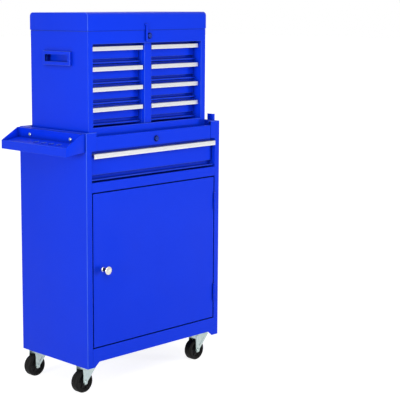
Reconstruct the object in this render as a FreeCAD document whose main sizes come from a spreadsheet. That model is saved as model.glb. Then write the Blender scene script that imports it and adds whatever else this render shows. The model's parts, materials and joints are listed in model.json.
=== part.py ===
import FreeCAD, Part
import Sketcher
import math
import os
from types import SimpleNamespace

# A steel tool cabinet on four casters with a loose tool chest standing on it.
# Origin on the floor under the middle of the cabinet, front towards -Y, up +Z.
# Every driving dimension is written once here, in millimetres.
SIZES = {
    # cabinet body
    "cabinet_width": 540.0,
    "cabinet_depth": 296.0,
    "steel": 1.0,
    "skirt_height": 77.0,
    "floor_height": 91.0,
    "rim_height": 748.0,
    "front_rim_drop": 12.0,
    "rim_width": 11.0,
    "pan_drop": 27.0,
    "mat_thickness": 3.0,
    "post_width": 38.0,
    "stile_width": 20.0,
    "jamb_depth": 30.0,
    "foot_width": 27.0,
    "foot_slope": 17.0,
    "panel_setback": 1.0,
    "rail_flange": 14.0,
    "shelf_opening_low": 132.0,
    "middle_rail_height": 28.0,
    "drawer_opening_height": 88.0,
    "top_panel_height": 40.0,
    "rest_gap": 0.3,
    "back_flange": 15.0,
    # door
    "door_gap": 3.5,
    "door_thickness": 16.0,
    "door_lip": 12.0,
    "door_hinge_rise": 80.0,
    "door_hinge_drop": 74.7,
    "door_hinge_length": 54.0,
    "door_knuckle_radius": 3.2,
    "door_knuckle_gap": 0.2,
    "door_pin_radius": 1.5,
    "pin_clearance": 0.05,
    "knuckle_gap": 0.4,
    "hinge_leaf_depth": 16.0,
    "knob_drop": 218.5,
    "knob_inset": 35.5,
    "knob_radius": 12.3,
    "knob_neck_radius": 4.8,
    "knob_foot_radius": 6.7,
    "knob_back_round": 2.0,
    "knob_face_round": 6.3,
    "knob_reach": 28.0,
    "knob_head": 9.0,
    "knob_stud_radius": 2.5,
    "catch_width": 14.0,
    "catch_height": 46.0,
    "catch_depth": 13.0,
    # wide drawer
    "wide_face_setback": 11.7,
    "wide_pull_proud": 6.0,
    "wide_pull_drop": 7.5,
    "wide_pull_height": 13.5,
    "wide_pull_inset": 4.0,
    "pull_wall": 2.0,
    "pull_corner": 0.8,
    "wide_face_height": 60.5,
    "wide_groove": 8.0,
    "wide_lip_gap": 9.0,
    "wide_lip_drop": 3.0,
    "wide_lip_setback": 5.0,
    "wide_box_length": 245.0,
    "wide_slide_space": 12.5,
    "wide_back_height": 40.0,
    "drawer_steel": 0.8,
    "slide_clearance": 0.4,
    "slide_side_clearance": 1.0,
    "runner_steel": 1.0,
    "wide_rail_level": 24.0,
    # locks
    "lock_ring_radius": 8.8,
    "lock_sleeve_radius": 7.3,
    "lock_plug_radius": 5.6,
    "lock_shaft_radius": 3.6,
    "lock_hole_clearance": 0.2,
    "lock_proud": 4.0,
    "lock_ring_round": 1.0,
    "lock_groove": 1.0,
    "cabinet_lock_drop": 22.0,
    "cabinet_lock_sleeve": 9.0,
    "cabinet_cam_setback": 24.0,
    "cabinet_cam_length": 31.0,
    "cam_width": 8.0,
    "cam_thickness": 2.0,
    # casters
    "wheel_radius": 31.75,
    "wheel_width": 23.0,
    "wheel_hub_radius": 12.0,
    "wheel_hub_proud": 1.0,
    "wheel_tread": 9.0,
    "wheel_dish": 4.0,
    "wheel_round": 4.0,
    "axle_radius": 3.0,
    "axle_head_radius": 5.4,
    "axle_head_height": 3.0,
    "caster_inset_side": 38.0,
    "caster_inset_end": 40.0,
    "caster_trail": 27.0,
    "fork_wall": 2.2,
    "fork_side_gap": 1.5,
    "fork_top": 82.5,
    "fork_disk_radius": 20.0,
    "fork_foot_radius": 7.5,
    "fork_front_reach": 19.0,
    "plate_thickness": 2.5,
    "plate_length": 62.0,
    "plate_width": 52.0,
    "race_radius": 17.0,
    "kingpin_radius": 5.0,
    "kingpin_rivet_radius": 8.0,
    "plate_bolt_radius": 3.0,
    "plate_nut_radius": 5.7,
    "plate_nut_height": 3.3,
    "plate_bolt_spacing_x": 46.0,
    "plate_bolt_spacing_y": 37.0,
    "bolt_clearance": 0.3,
    # side tray and hanger
    "tray_end_gap": 4.0,
    "tray_reach": 70.0,
    "tray_back_lean": 10.5,
    "tray_top_drop": 1.5,
    "tray_back_height": 50.5,
    "tray_floor_rise": 22.0,
    "tray_floor_fall": 9.0,
    "tray_lip_rise": 17.0,
    "tray_lip_height": 25.0,
    "tray_hole_radius": 9.0,
    "tray_hole_pitch": 34.0,
    "tray_hole_first": -77.0,
    "tray_hole_inset": 31.0,
    "tray_screw_y": 90.0,
    "tray_screw_rise": 32.0,
    "screw_head_radius": 5.5,
    "screw_head_height": 2.6,
    "screw_radius": 2.4,
    "tray_screw_past": 3.0,
    "hanger_screw_length": 4.0,
    "hanger_screw_pitch": 24.0,
    "hanger_width": 24.0,
    "hanger_setback": 27.0,
    "hanger_flange": 8.0,
    "hanger_rise": 18.5,
    "hanger_drop": 58.0,
    # chest
    "chest_width": 472.0,
    "chest_front_setback": 29.5,
    "chest_depth": 252.0,
    "chest_steel": 0.8,
    "chest_stile": 18.0,
    "chest_bottom_rail": 32.7,
    "chest_top_rail": 35.0,
    "chest_flange": 12.0,
    "mullion_width": 27.0,
    "mullion_setback": 6.0,
    "chest_pan_rise": 7.0,
    "chest_mat": 2.0,
    "handle_length": 120.0,
    "handle_height": 39.0,
    "handle_proud": 8.0,
    "handle_middle_y": 10.0,
    "handle_drop": 76.0,
    "grip_length": 100.0,
    "grip_height": 20.5,
    "chest_lock_drop": 15.3,
    "chest_lock_sleeve": 12.0,
    "chest_cam_setback": 15.0,
    "chest_cam_length": 11.0,
    # lid
    "lid_rise": 52.0,
    "lid_overhang": 1.3,
    "lid_round": 12.0,
    "lid_hinge_offset": 3.6,
    "lid_leaf": 1.0,
    "lid_tab": 3.0,
    "lid_knuckle_radius": 2.3,
    "lid_pin_radius": 1.0,
    "lid_knuckle_length": 40.0,
    "lid_leaf_height": 18.0,
    "strap_width": 11.0,
    "strap_offset": 15.0,
    "strap_hook": 2.5,
    "strap_thickness": 2.0,
    "strap_rise": 19.0,
    "strap_drop": 31.0,
    "hook_width": 10.0,
    "hook_offset": 14.0,
    "hook_drop": 26.0,
    # small drawers
    "drawer_pitch": 57.0,
    "column_play": 5.0,
    "first_pull_drop": 7.5,
    "small_pull_height": 12.3,
    "small_pull_setback": 8.5,
    "small_face_setback": 30.0,
    "small_pull_inset": 4.0,
    "small_face_height": 35.5,
    "small_lip_setback": 23.0,
    "small_lip_level": 43.0,
    "small_lip_drop": 4.0,
    "small_groove": 7.0,
    "small_box_length": 190.0,
    "small_front_gap": 1.5,
    "small_slide_space": 7.0,
    "small_rail_level": 12.0,
    "small_back_drop": 8.0,
}

ROWS = 4
TRAY_HOLES = 4
LID_KNUCKLES = 11
SIDES = {"left": -1, "right": 1}
ENDS = {"front": -1, "rear": 1}

doc = FreeCAD.newDocument("ToolCabinet")
sheet = doc.addObject("Spreadsheet::Sheet", "Sizes")
for row, (alias, value) in enumerate(SIZES.items(), start=1):
    sheet.set("A%d" % row, alias.replace("_", " "))
    sheet.set("B%d" % row, str(value))
    sheet.setAlias("B%d" % row, alias)
doc.recompute()


# A length that knows both its value and the formula over the sheet that gives it,
# so that plain arithmetic on sizes also writes the expressions of the model.
class Size:
    def __init__(self, value, text):
        self.value = value
        self.text = text

    def __add__(self, other):
        other = size(other)
        return Size(self.value + other.value, "(%s + %s)" % (self.text, other.text))

    def __sub__(self, other):
        other = size(other)
        return Size(self.value - other.value, "(%s - %s)" % (self.text, other.text))

    def __mul__(self, other):
        other = size(other)
        return Size(self.value * other.value, "(%s * %s)" % (self.text, other.text))

    def __truediv__(self, other):
        other = size(other)
        return Size(self.value / other.value, "(%s / %s)" % (self.text, other.text))

    def __neg__(self):
        return self * -1

    def __radd__(self, other):
        return size(other) + self

    def __rsub__(self, other):
        return size(other) - self


def size(number):
    if isinstance(number, Size):
        return number
    return Size(float(number), "(%s)" % float(number))


s = SimpleNamespace(**{alias: Size(value, "Sizes." + alias) for alias, value in SIZES.items()})

# Places that several pieces share.
half_width = s.cabinet_width / 2
half_depth = s.cabinet_depth / 2
front = -half_depth
back = half_depth
opening_side = half_width - s.stile_width
panel_side = half_width - s.post_width
front_rim_height = s.rim_height - s.front_rim_drop
drawer_opening_high = front_rim_height - s.top_panel_height
drawer_opening_low = drawer_opening_high - s.drawer_opening_height
shelf_opening_high = drawer_opening_low - s.middle_rail_height
cabinet_lock_height = front_rim_height - s.cabinet_lock_drop
pan_floor = s.rim_height - s.pan_drop
pan_side = half_width - s.rim_width
pan_front = front + s.rim_width
pan_back = back - s.rim_width
panel_front = front + s.panel_setback
wide_pull_top = drawer_opening_high - s.wide_pull_drop
wide_face_low = wide_pull_top - s.wide_face_height
wide_lip_top = wide_face_low - s.wide_lip_gap
door_side = opening_side - s.door_gap
door_low = s.shelf_opening_low + s.door_gap
door_high = shelf_opening_high - s.door_gap
door_hinge_low = door_low + s.door_hinge_rise
door_hinge_high = door_high - s.door_hinge_drop
knob_height = door_high - s.knob_drop
door_axis_x = (opening_side + door_side) / 2
door_axis_y = front - s.door_knuckle_radius - s.door_knuckle_gap
caster_x = half_width - s.caster_inset_side
caster_y = half_depth - s.caster_inset_end
chest_side = s.chest_width / 2
chest_front = front + s.chest_front_setback
chest_back = chest_front + s.chest_depth
chest_low = pan_floor + s.mat_thickness + s.rest_gap
chest_opening = chest_side - s.chest_stile
chest_opening_low = chest_low + s.chest_bottom_rail
chest_floor = chest_opening_low + s.drawer_pitch * ROWS + s.column_play
chest_seam_height = chest_floor + s.chest_top_rail
handle_middle_height = chest_seam_height - s.handle_drop
chest_lock_height = chest_seam_height - s.chest_lock_drop
first_pull_top = chest_floor - s.first_pull_drop
lid_side = chest_side + s.lid_overhang
lid_front = chest_front - s.lid_overhang
lid_back = chest_back + s.lid_overhang
lid_low = chest_seam_height + s.rest_gap
lid_high = chest_seam_height + s.lid_rise
strap_high = chest_seam_height + s.strap_rise
strap_low = chest_seam_height - s.strap_drop
hook_low = chest_seam_height - s.hook_drop
lid_axis_y = chest_back + s.lid_hinge_offset
lid_axis_z = chest_seam_height

screw_hole_radius = s.screw_radius + s.lock_hole_clearance
tray_back_high = s.rim_height - s.tray_top_drop
tray_back_low = tray_back_high - s.tray_back_height
tray_floor_high = tray_back_low + s.tray_floor_rise
tray_lip_high = tray_back_low + s.tray_lip_rise
tray_lip_low = tray_lip_high - s.tray_lip_height
tray_screw_height = tray_back_low + s.tray_screw_rise
hanger_top = s.rim_height + s.hanger_rise
hanger_low = s.rim_height - s.hanger_drop
hanger_screw_y = front + s.hanger_setback + s.hanger_width / 2
hanger_screw_low = hanger_low + s.hanger_width / 2
hanger_screw_levels = [hanger_screw_low, hanger_screw_low + s.hanger_screw_pitch]

nodes = {}

# Where each origin plane of a body puts a sketch: the plane's role, and whether the
# sketch's own normal points along the plane's axis (+1) or against it (-1).
PLANES = {"x": ("YZ_Plane", 1), "y": ("XZ_Plane", -1), "z": ("XY_Plane", 1)}


def new_body(label):
    body = doc.addObject("PartDesign::Body", label)
    body.Label = label
    return body


def new_sketch(body, name, axis, place):
    role, sense = PLANES[axis]
    plane = next(item for item in body.Origin.OriginFeatures if item.Role == role)
    sketch = body.newObject("Sketcher::SketchObject", name)
    sketch.AttachmentSupport = [(plane, "")]
    sketch.MapMode = "FlatFace"
    sketch.setExpression(".AttachmentOffset.Base.z", (size(place) * sense).text)
    return sketch


def hold_point(sketch, item, end, u, v):
    for kind, length in (("DistanceX", u), ("DistanceY", v)):
        number = sketch.addConstraint(Sketcher.Constraint(kind, -1, 1, item, end, length.value))
        sketch.setExpression("Constraints[%d]" % number, length.text)


def ordered(places):
    return sorted(places, key=lambda item: item.value)


def vector(point):
    return FreeCAD.Vector(point[0].value, point[1].value, 0)


def towards(start, end):
    du = end[0].value - start[0].value
    dv = end[1].value - start[1].value
    length = (du * du + dv * dv) ** 0.5
    return du / length, dv / length


# Draws a closed outline. A point is (u, v), or (u, v, radius) for a rounded corner
# between two edges that run along the sketch's axes.
def outline(sketch, points):
    points = [tuple(size(part) for part in point) for point in points]
    count = len(points)
    stops = []
    for index, point in enumerate(points):
        before = points[index - 1]
        after = points[(index + 1) % count]
        if len(point) == 2:
            stops.append((point, point, None))
            continue
        u, v, radius = point
        into = towards(before, point)
        out = towards(point, after)
        start = (u - radius * into[0], v - radius * into[1])
        end = (u + radius * out[0], v + radius * out[1])
        stops.append((start, end, radius))
    chain = []
    for index, (start, end, radius) in enumerate(stops):
        if radius is not None:
            chain.append((rounded_corner(points[index], start, end, radius.value), start, radius))
        next_start = stops[(index + 1) % count][0]
        chain.append(((Part.LineSegment(vector(end), vector(next_start)), (1, 2)), end, None))
    numbers = [sketch.addGeometry(curve, False) for (curve, ends), start, radius in chain]
    for index, ((curve, ends), start, radius) in enumerate(chain):
        following = (index + 1) % len(chain)
        sketch.addConstraint(Sketcher.Constraint(
            "Coincident", numbers[index], ends[1], numbers[following], chain[following][0][1][0]))
    for index, ((curve, ends), start, radius) in enumerate(chain):
        hold_point(sketch, numbers[index], ends[0], start[0], start[1])
        if radius is not None:
            number = sketch.addConstraint(Sketcher.Constraint("Radius", numbers[index], radius.value))
            sketch.setExpression("Constraints[%d]" % number, radius.text)


# The arc of a rounded corner, which always runs anticlockwise, and which of its two
# ends comes first and last on the way round the outline.
def rounded_corner(corner, start, end, radius):
    centre = vector(start) + vector(end) - vector(corner)
    into = vector(corner) - vector(start)
    out = vector(end) - vector(corner)
    leftward = into.x * out.y - into.y * out.x > 0
    angles = [math.atan2(point[1].value - centre.y, point[0].value - centre.x) for point in (start, end)]
    if not leftward:
        angles.reverse()
    if angles[1] < angles[0]:
        angles[1] += 2 * math.pi
    arc = Part.ArcOfCircle(Part.Circle(centre, FreeCAD.Vector(0, 0, 1), radius), angles[0], angles[1])
    return arc, (1, 2) if leftward else (2, 1)


def rectangle(low_u, high_u, low_v, high_v):
    return [(low_u, low_v), (high_u, low_v), (high_u, high_v), (low_u, high_v)]


def circle(sketch, u, v, radius):
    u, v, radius = size(u), size(v), size(radius)
    item = sketch.addGeometry(Part.Circle(FreeCAD.Vector(u.value, v.value, 0),
                                          FreeCAD.Vector(0, 0, 1), radius.value), False)
    hold_point(sketch, item, 3, u, v)
    number = sketch.addConstraint(Sketcher.Constraint("Radius", item, radius.value))
    sketch.setExpression("Constraints[%d]" % number, radius.text)


# Draws outlines and (u, v, radius) circles across one axis of a body, from low to high.
def swept(kind, body, name, axis, low, high, outlines, circles):
    low, high = size(low), size(high)
    sense = PLANES[axis][1]
    sketch = new_sketch(body, name + "_sketch", axis, low if sense > 0 else high)
    for points in outlines:
        outline(sketch, points)
    for u, v, radius in circles:
        circle(sketch, u, v, radius)
    feature = body.newObject(kind, name)
    feature.Profile = sketch
    feature.setExpression("Length", (high - low).text)
    if kind == "PartDesign::Pocket":
        feature.Reversed = True
    return feature


def pad(body, name, axis, low, high, outlines=(), circles=()):
    return swept("PartDesign::Pad", body, name, axis, low, high, outlines, circles)


def pocket(body, name, axis, low, high, outlines=(), circles=()):
    return swept("PartDesign::Pocket", body, name, axis, low, high, outlines, circles)


# How far the tray's back wall leans out at a height.
def tray_lean_at(level):
    return s.tray_back_lean * (level - tray_back_low) / (tray_back_high - tray_back_low)


# Turns an outline about the sketch's upright axis. The outline gives radius and place.
def turned(body, name, points):
    sketch = new_sketch(body, name + "_sketch", "z", 0)
    outline(sketch, points)
    feature = body.newObject("PartDesign::Revolution", name)
    feature.Profile = sketch
    feature.ReferenceAxis = (sketch, ["V_Axis"])
    feature.Angle = 360
    return feature


# Repeats a feature of a body along one axis.
def repeated(body, name, features, axis, count, step):
    pattern = body.newObject("PartDesign::LinearPattern", name)
    pattern.Originals = features
    role = axis.upper() + "_Axis"
    line = next(item for item in body.Origin.OriginFeatures if item.Role == role)
    pattern.Direction = (line, [""])
    pattern.setExpression("Length", (size(step) * (count - 1)).text)
    pattern.Occurrences = count
    body.Tip = pattern
    return pattern


def move(item, x=0, y=0, z=0):
    for letter, length in (("x", x), ("y", y), ("z", z)):
        item.setExpression(".Placement.Base." + letter, size(length).text)


def node(label, item):
    item.Label = label
    nodes[label] = item
    return item


def group(label, items):
    compound = doc.addObject("Part::Compound", label + "_group")
    compound.Links = items
    return node(label, compound)


# Panels of the cabinet

# One side of the cabinet: web, front stile folded in to a jamb, back flange, top rim,
# and the wider post beside the top front panel.
def make_side_panel(name, side):
    body = new_body(name + "_side_panel")
    outer = half_width * side
    inner = (half_width - s.steel) * side
    jamb = opening_side * side
    jamb_back = (opening_side + s.steel) * side
    flange = (half_width - s.back_flange) * side
    pad(body, name + "_wrap", "z", s.skirt_height, s.rim_height - s.steel, [[
        (outer, front), (jamb, front), (jamb, front + s.steel), (inner, front + s.steel),
        (inner, back - s.steel), (flange, back - s.steel), (flange, back), (outer, back)]])
    pad(body, name + "_jamb", "z", s.shelf_opening_low - s.steel, drawer_opening_high + s.steel,
        [rectangle(*ordered([jamb, jamb_back]), front, front + s.jamb_depth)])
    pad(body, name + "_post", "y", front, front + s.steel,
        [rectangle(jamb, panel_side * side, drawer_opening_high, s.rim_height - s.steel)])
    pad(body, name + "_rim", "z", s.rim_height - s.steel, s.rim_height, [[
        (outer, front), (panel_side * side, front), (panel_side * side, pan_front + s.steel),
        (pan_side * side, pan_front + s.steel), (pan_side * side, back), (outer, back)]])
    screw = screw_hole_radius
    if side < 0:
        holes = [(y, tray_screw_height, screw) for y in (-s.tray_screw_y, s.tray_screw_y)]
    else:
        holes = [(hanger_screw_y, level, screw) for level in hanger_screw_levels]
    low, high = (outer, inner) if side < 0 else (inner, outer)
    pocket(body, name + "_screw_holes", "x", low, high, circles=holes)
    return node(name + "_side_panel", body)


# The back closes the box between the side panels' flanges and folds over at the top.
def make_back_panel():
    body = new_body("back_panel")
    outer = half_width - s.steel
    pad(body, "back_sheet", "y", back - s.steel * 2, back - s.steel,
        [rectangle(-outer, outer, s.skirt_height, s.rim_height - s.steel)])
    pad(body, "back_rim", "z", s.rim_height - s.steel, s.rim_height,
        [rectangle(-pan_side, pan_side, pan_back - s.steel, back)])
    return node("back_panel", body)


def make_top_front_panel():
    body = new_body("top_front_panel")
    inside = panel_front + s.steel
    pad(body, "panel_channel", "x", -panel_side, panel_side, [[
        (panel_front, drawer_opening_high), (panel_front + s.rim_width, drawer_opening_high),
        (panel_front + s.rim_width, drawer_opening_high + s.steel),
        (inside, drawer_opening_high + s.steel), (inside, front_rim_height - s.steel),
        (pan_front + s.steel, front_rim_height - s.steel), (pan_front + s.steel, front_rim_height),
        (panel_front, front_rim_height)]])
    pocket(body, "panel_lock_hole", "y", panel_front, inside,
           circles=[(0, cabinet_lock_height, s.lock_sleeve_radius + s.lock_hole_clearance)])
    return node("top_front_panel", body)


def make_middle_rail():
    body = new_body("middle_rail")
    low, high = shelf_opening_high, drawer_opening_low
    inside = front + s.rail_flange
    pad(body, "rail_channel", "x", -opening_side, opening_side, [[
        (front, low), (inside, low), (inside, low + s.steel), (front + s.steel, low + s.steel),
        (front + s.steel, high - s.steel), (inside, high - s.steel), (inside, high), (front, high)]])
    return body


# The bottom rail runs down into a sloping foot at each corner.
def make_bottom_rail():
    body = new_body("bottom_rail")
    foot = half_width - s.foot_width
    slope = foot - s.foot_slope
    pad(body, "rail_face", "y", front, front + s.steel, [[
        (-opening_side, s.skirt_height), (-foot, s.skirt_height), (-slope, s.floor_height),
        (slope, s.floor_height), (foot, s.skirt_height), (opening_side, s.skirt_height),
        (opening_side, s.shelf_opening_low), (-opening_side, s.shelf_opening_low)]])
    pad(body, "rail_ledge", "z", s.shelf_opening_low - s.steel, s.shelf_opening_low,
        [rectangle(-opening_side, opening_side, front, front + s.rail_flange)])
    return body


# The floor is a shallow pan turned up at its sides, with four bolt holes per caster.
def make_floor_panel():
    body = new_body("floor_panel")
    side = half_width - s.steel
    low_y = front + s.jamb_depth + s.rest_gap
    high_y = back - s.steel * 2
    tongue = opening_side
    pad(body, "floor_sheet", "z", s.floor_height, s.floor_height + s.steel, [[
        (-side, low_y), (-tongue, low_y), (-tongue, front + s.steel), (tongue, front + s.steel),
        (tongue, low_y), (side, low_y), (side, high_y), (-side, high_y)]])
    for name, turn in SIDES.items():
        pad(body, "floor_turn_" + name, "x",
            *ordered([side * turn, (side - s.steel) * turn]),
            [rectangle(low_y, high_y, s.floor_height, s.floor_height + s.rail_flange)])
    holes = []
    for turn in SIDES.values():
        for end in ENDS.values():
            for along in (-1, 1):
                for across in (-1, 1):
                    holes.append((caster_x * turn + s.plate_bolt_spacing_x / 2 * along,
                                  caster_y * end + s.plate_bolt_spacing_y / 2 * across,
                                  s.plate_bolt_radius + s.bolt_clearance))
    pocket(body, "floor_bolt_holes", "z", s.floor_height, s.floor_height + s.steel, circles=holes)
    return node("floor_panel", body)


# The recessed top is a pressed tray. Its front wall is lower between the posts.
def make_top_pan():
    body = new_body("top_pan")
    low = pan_floor - s.steel
    high = s.rim_height - s.steel
    pad(body, "pan_sheet", "z", low, pan_floor,
        [rectangle(-pan_side, pan_side, pan_front, pan_back)])
    for name, turn in SIDES.items():
        pad(body, "pan_wall_" + name, "x",
            *ordered([pan_side * turn, (pan_side - s.steel) * turn]),
            [rectangle(pan_front, pan_back, low, high)])
    pad(body, "pan_wall_back", "y", pan_back - s.steel, pan_back,
        [rectangle(-pan_side, pan_side, low, high)])
    pad(body, "pan_wall_front", "y", pan_front, pan_front + s.steel, [[
        (-pan_side, low), (pan_side, low), (pan_side, high), (panel_side, high),
        (panel_side, front_rim_height - s.steel), (-panel_side, front_rim_height - s.steel),
        (-panel_side, high), (-pan_side, high)]])
    return node("top_pan", body)


def make_top_mat():
    body = new_body("top_mat")
    side = pan_side - s.steel - s.rest_gap
    pad(body, "mat_sheet", "z", pan_floor, pan_floor + s.mat_thickness,
        [rectangle(-side, side, pan_front + s.steel + s.rest_gap, pan_back - s.steel - s.rest_gap)])
    return node("top_mat", body)


# Screws with a domed head, laid along X or Y: their shank runs through the sheet.
def make_screw(name, x, y, z, heading, shank):
    body = new_body(name)
    turned(body, name + "_turn", [
        (0, -shank), (s.screw_radius, -shank), (s.screw_radius, 0), (s.screw_head_radius, 0),
        (s.screw_head_radius, s.screw_head_height / 2), (s.screw_head_radius / 2, s.screw_head_height),
        (0, s.screw_head_height)])
    turn = {"-x": FreeCAD.Rotation(FreeCAD.Vector(0, 0, 1), 90),
            "+x": FreeCAD.Rotation(FreeCAD.Vector(0, 0, 1), -90)}[heading]
    body.Placement = FreeCAD.Placement(FreeCAD.Vector(x.value, y.value, z.value), turn)
    move(body, x, y, z)
    return body


# The tool tray hangs on the left side, leaning out from its lower edge. Its floor
# slopes down to the outer lip and has a row of holes for screwdrivers.
def make_side_tray():
    body = new_body("side_tray")
    wall = -half_width - s.rest_gap
    top = wall - s.tray_back_lean
    outer = wall - s.tray_reach
    steel = s.steel
    low_y, high_y = front + s.tray_end_gap, back - s.tray_end_gap
    floor_outer = tray_floor_high - s.tray_floor_fall
    bend = wall - tray_lean_at(tray_floor_high) - steel
    pad(body, "tray_section", "y", low_y, high_y, [[
        (wall, tray_back_low), (wall - steel, tray_back_low), (bend, tray_floor_high),
        (outer + steel, floor_outer), (outer + steel, tray_lip_low), (outer, tray_lip_low),
        (outer, tray_lip_high), (outer + steel, tray_lip_high),
        (outer + steel, floor_outer + steel), (bend, tray_floor_high + steel),
        (top - steel, tray_back_high), (wall, tray_back_high),
        (wall, tray_back_high - steel), (top, tray_back_high - steel)]])
    for name, low in (("front", low_y), ("rear", high_y - steel)):
        pad(body, "tray_end_" + name, "y", low, low + steel, [[
            (wall, tray_back_low), (top, tray_back_high), (top - steel, tray_back_high),
            (outer, tray_lip_high), (outer, tray_lip_low)]])
    pocket(body, "tray_screw_holes", "x", top - steel, wall,
           circles=[(y, tray_screw_height, screw_hole_radius) for y in (-s.tray_screw_y, s.tray_screw_y)])
    hole = pocket(body, "tray_hole", "z", floor_outer - steel, tray_floor_high + steel,
                  circles=[(outer + s.tray_hole_inset, s.tray_hole_first, s.tray_hole_radius)])
    repeated(body, "tray_holes", [hole], "y", TRAY_HOLES, s.tray_hole_pitch)
    return node("side_tray", body)


# The hanger is an angle on the right side whose top stands above the rim.
def make_hanger():
    body = new_body("hanger_bracket")
    low_y = front + s.hanger_setback
    pad(body, "hanger_angle", "z", hanger_low, hanger_top, [[
        (half_width, low_y), (half_width + s.hanger_flange, low_y),
        (half_width + s.hanger_flange, low_y + s.steel), (half_width + s.steel, low_y + s.steel),
        (half_width + s.steel, low_y + s.hanger_width), (half_width, low_y + s.hanger_width)]])
    pocket(body, "hanger_holes", "x", half_width, half_width + s.steel,
           circles=[(hanger_screw_y, level, screw_hole_radius) for level in hanger_screw_levels])
    return node("hanger_bracket", body)


# A pair of screws through the tray's back wall, and a pair through the hanger.
def make_side_screws():
    lean = tray_lean_at(tray_screw_height + s.screw_head_radius)
    head = -half_width - s.rest_gap - lean - s.steel
    reach = lean + s.tray_screw_past + s.rest_gap
    tray = [make_screw("tray_screw_" + name, head, s.tray_screw_y * end, tray_screw_height, "-x", reach)
            for name, end in ENDS.items()]
    hanger = [make_screw("hanger_screw_%d" % number, half_width + s.steel, hanger_screw_y, level, "+x",
                         s.hanger_screw_length)
              for number, level in enumerate(hanger_screw_levels, start=1)]
    return tray + hanger


# Door

def make_door():
    body = new_body("door_panel")
    rear = front + s.door_thickness
    outer = rectangle(-door_side, door_side, door_low, door_high)
    side, low, high = door_side - s.steel, door_low + s.steel, door_high - s.steel
    lip = s.door_lip
    pad(body, "door_sheet", "y", front, front + s.steel, [outer])
    pad(body, "door_flanges", "y", front, rear, [outer, rectangle(-side, side, low, high)])
    pad(body, "door_lips", "y", rear - s.steel, rear,
        [outer, rectangle(lip - door_side, door_side - lip, door_low + lip, door_high - lip)])
    pocket(body, "door_knob_hole", "y", front, front + s.steel,
           circles=[(s.knob_inset - door_side, knob_height, s.knob_stud_radius + s.lock_hole_clearance)])
    return node("door_panel", body)


def make_knob():
    body = new_body("door_knob")
    neck = s.knob_reach - s.knob_head
    turned(body, "knob_turn", [
        (0, -s.door_gap), (s.knob_stud_radius, -s.door_gap), (s.knob_stud_radius, 0),
        (s.knob_foot_radius, 0), (s.knob_foot_radius, s.steel),
        (s.knob_neck_radius, s.steel * 2), (s.knob_neck_radius, neck),
        (s.knob_radius, neck, s.knob_back_round),
        (s.knob_radius, s.knob_reach, s.knob_face_round), (0, s.knob_reach)])
    body.Placement = facing_front()
    move(body, s.knob_inset - door_side, front, knob_height)
    return node("door_knob", body)


# A turned piece points along +Y as drawn; this faces it to the front.
def facing_front():
    return FreeCAD.Placement(FreeCAD.Vector(0, 0, 0), FreeCAD.Rotation(FreeCAD.Vector(0, 0, 1), 180))


def knuckle(body, name, axis, low, high, u, v, radius, bore):
    return pad(body, name, axis, low, high, circles=[(u, v, radius), (u, v, bore)])


# One leaf of a door hinge. The moving leaf has the middle knuckle, the fixed one the
# two outer ones.
def make_door_leaf(name, edge, inward, middle, thirds):
    body = new_body(name)
    length = s.door_hinge_length
    third = length / 3
    low = middle - length / 2
    near, far = ordered([edge, edge + s.steel * inward])
    pad(body, name + "_plate", "z", low, low + length,
        [rectangle(near, far, front, front + s.hinge_leaf_depth)])
    bore = s.door_pin_radius + s.pin_clearance
    for number in thirds:
        start = low + third * number + s.knuckle_gap / 2
        stop = low + third * (number + 1) - s.knuckle_gap / 2
        pad(body, name + "_tab_%d" % number, "z", start, stop, [rectangle(near, far, door_axis_y, front)])
        pocket(body, name + "_clear_%d" % number, "z", start, stop,
               circles=[(door_axis_x, door_axis_y, s.door_knuckle_radius - s.drawer_steel)])
        knuckle(body, name + "_knuckle_%d" % number, "z", start, stop, door_axis_x, door_axis_y,
                s.door_knuckle_radius, bore)
    return body


def make_door_hinges():
    moving, fixed, pins = [], [], []
    for name, middle in (("low", door_hinge_low), ("high", door_hinge_high)):
        moving.append(make_door_leaf("door_leaf_" + name, door_side, 1, middle, [1]))
        fixed.append(make_door_leaf("frame_leaf_" + name, opening_side, -1, middle, [0, 2]))
        pin = new_body("door_pin_" + name)
        pad(pin, "door_pin_" + name + "_rod", "z", middle - s.door_hinge_length / 2,
            middle + s.door_hinge_length / 2, circles=[(door_axis_x, door_axis_y, s.door_pin_radius)])
        pins.append(pin)
    group("door_hinge_leaves", moving)
    group("frame_hinge_leaves", fixed + pins)


# The magnetic catch sits on the left jamb, just behind the closed door's lip.
def make_catch():
    body = new_body("door_catch")
    low_y = front + s.door_thickness + s.rest_gap
    half = s.catch_height / 2
    pad(body, "catch_case", "y", low_y, low_y + s.catch_depth,
        [rectangle(-opening_side, s.catch_width - opening_side, knob_height - half, knob_height + half)])
    return node("door_catch", body)


# Drawers. Each is drawn about its own middle, with its heights counted from the top
# of its pull, and is then moved to its place.

def make_pull(name, half_length, pull_front, face, height, x, z):
    body = new_body(name)
    wall, rear = s.pull_wall, face + s.drawer_steel
    pad(body, name + "_section", "x", -half_length, half_length, [[
        (rear, 0), (pull_front, 0, s.pull_corner), (pull_front, -height, s.pull_corner),
        (pull_front + wall, -height), (pull_front + wall, -wall), (rear, -wall)]])
    move(body, x, 0, z)
    return node(name, body)


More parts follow.
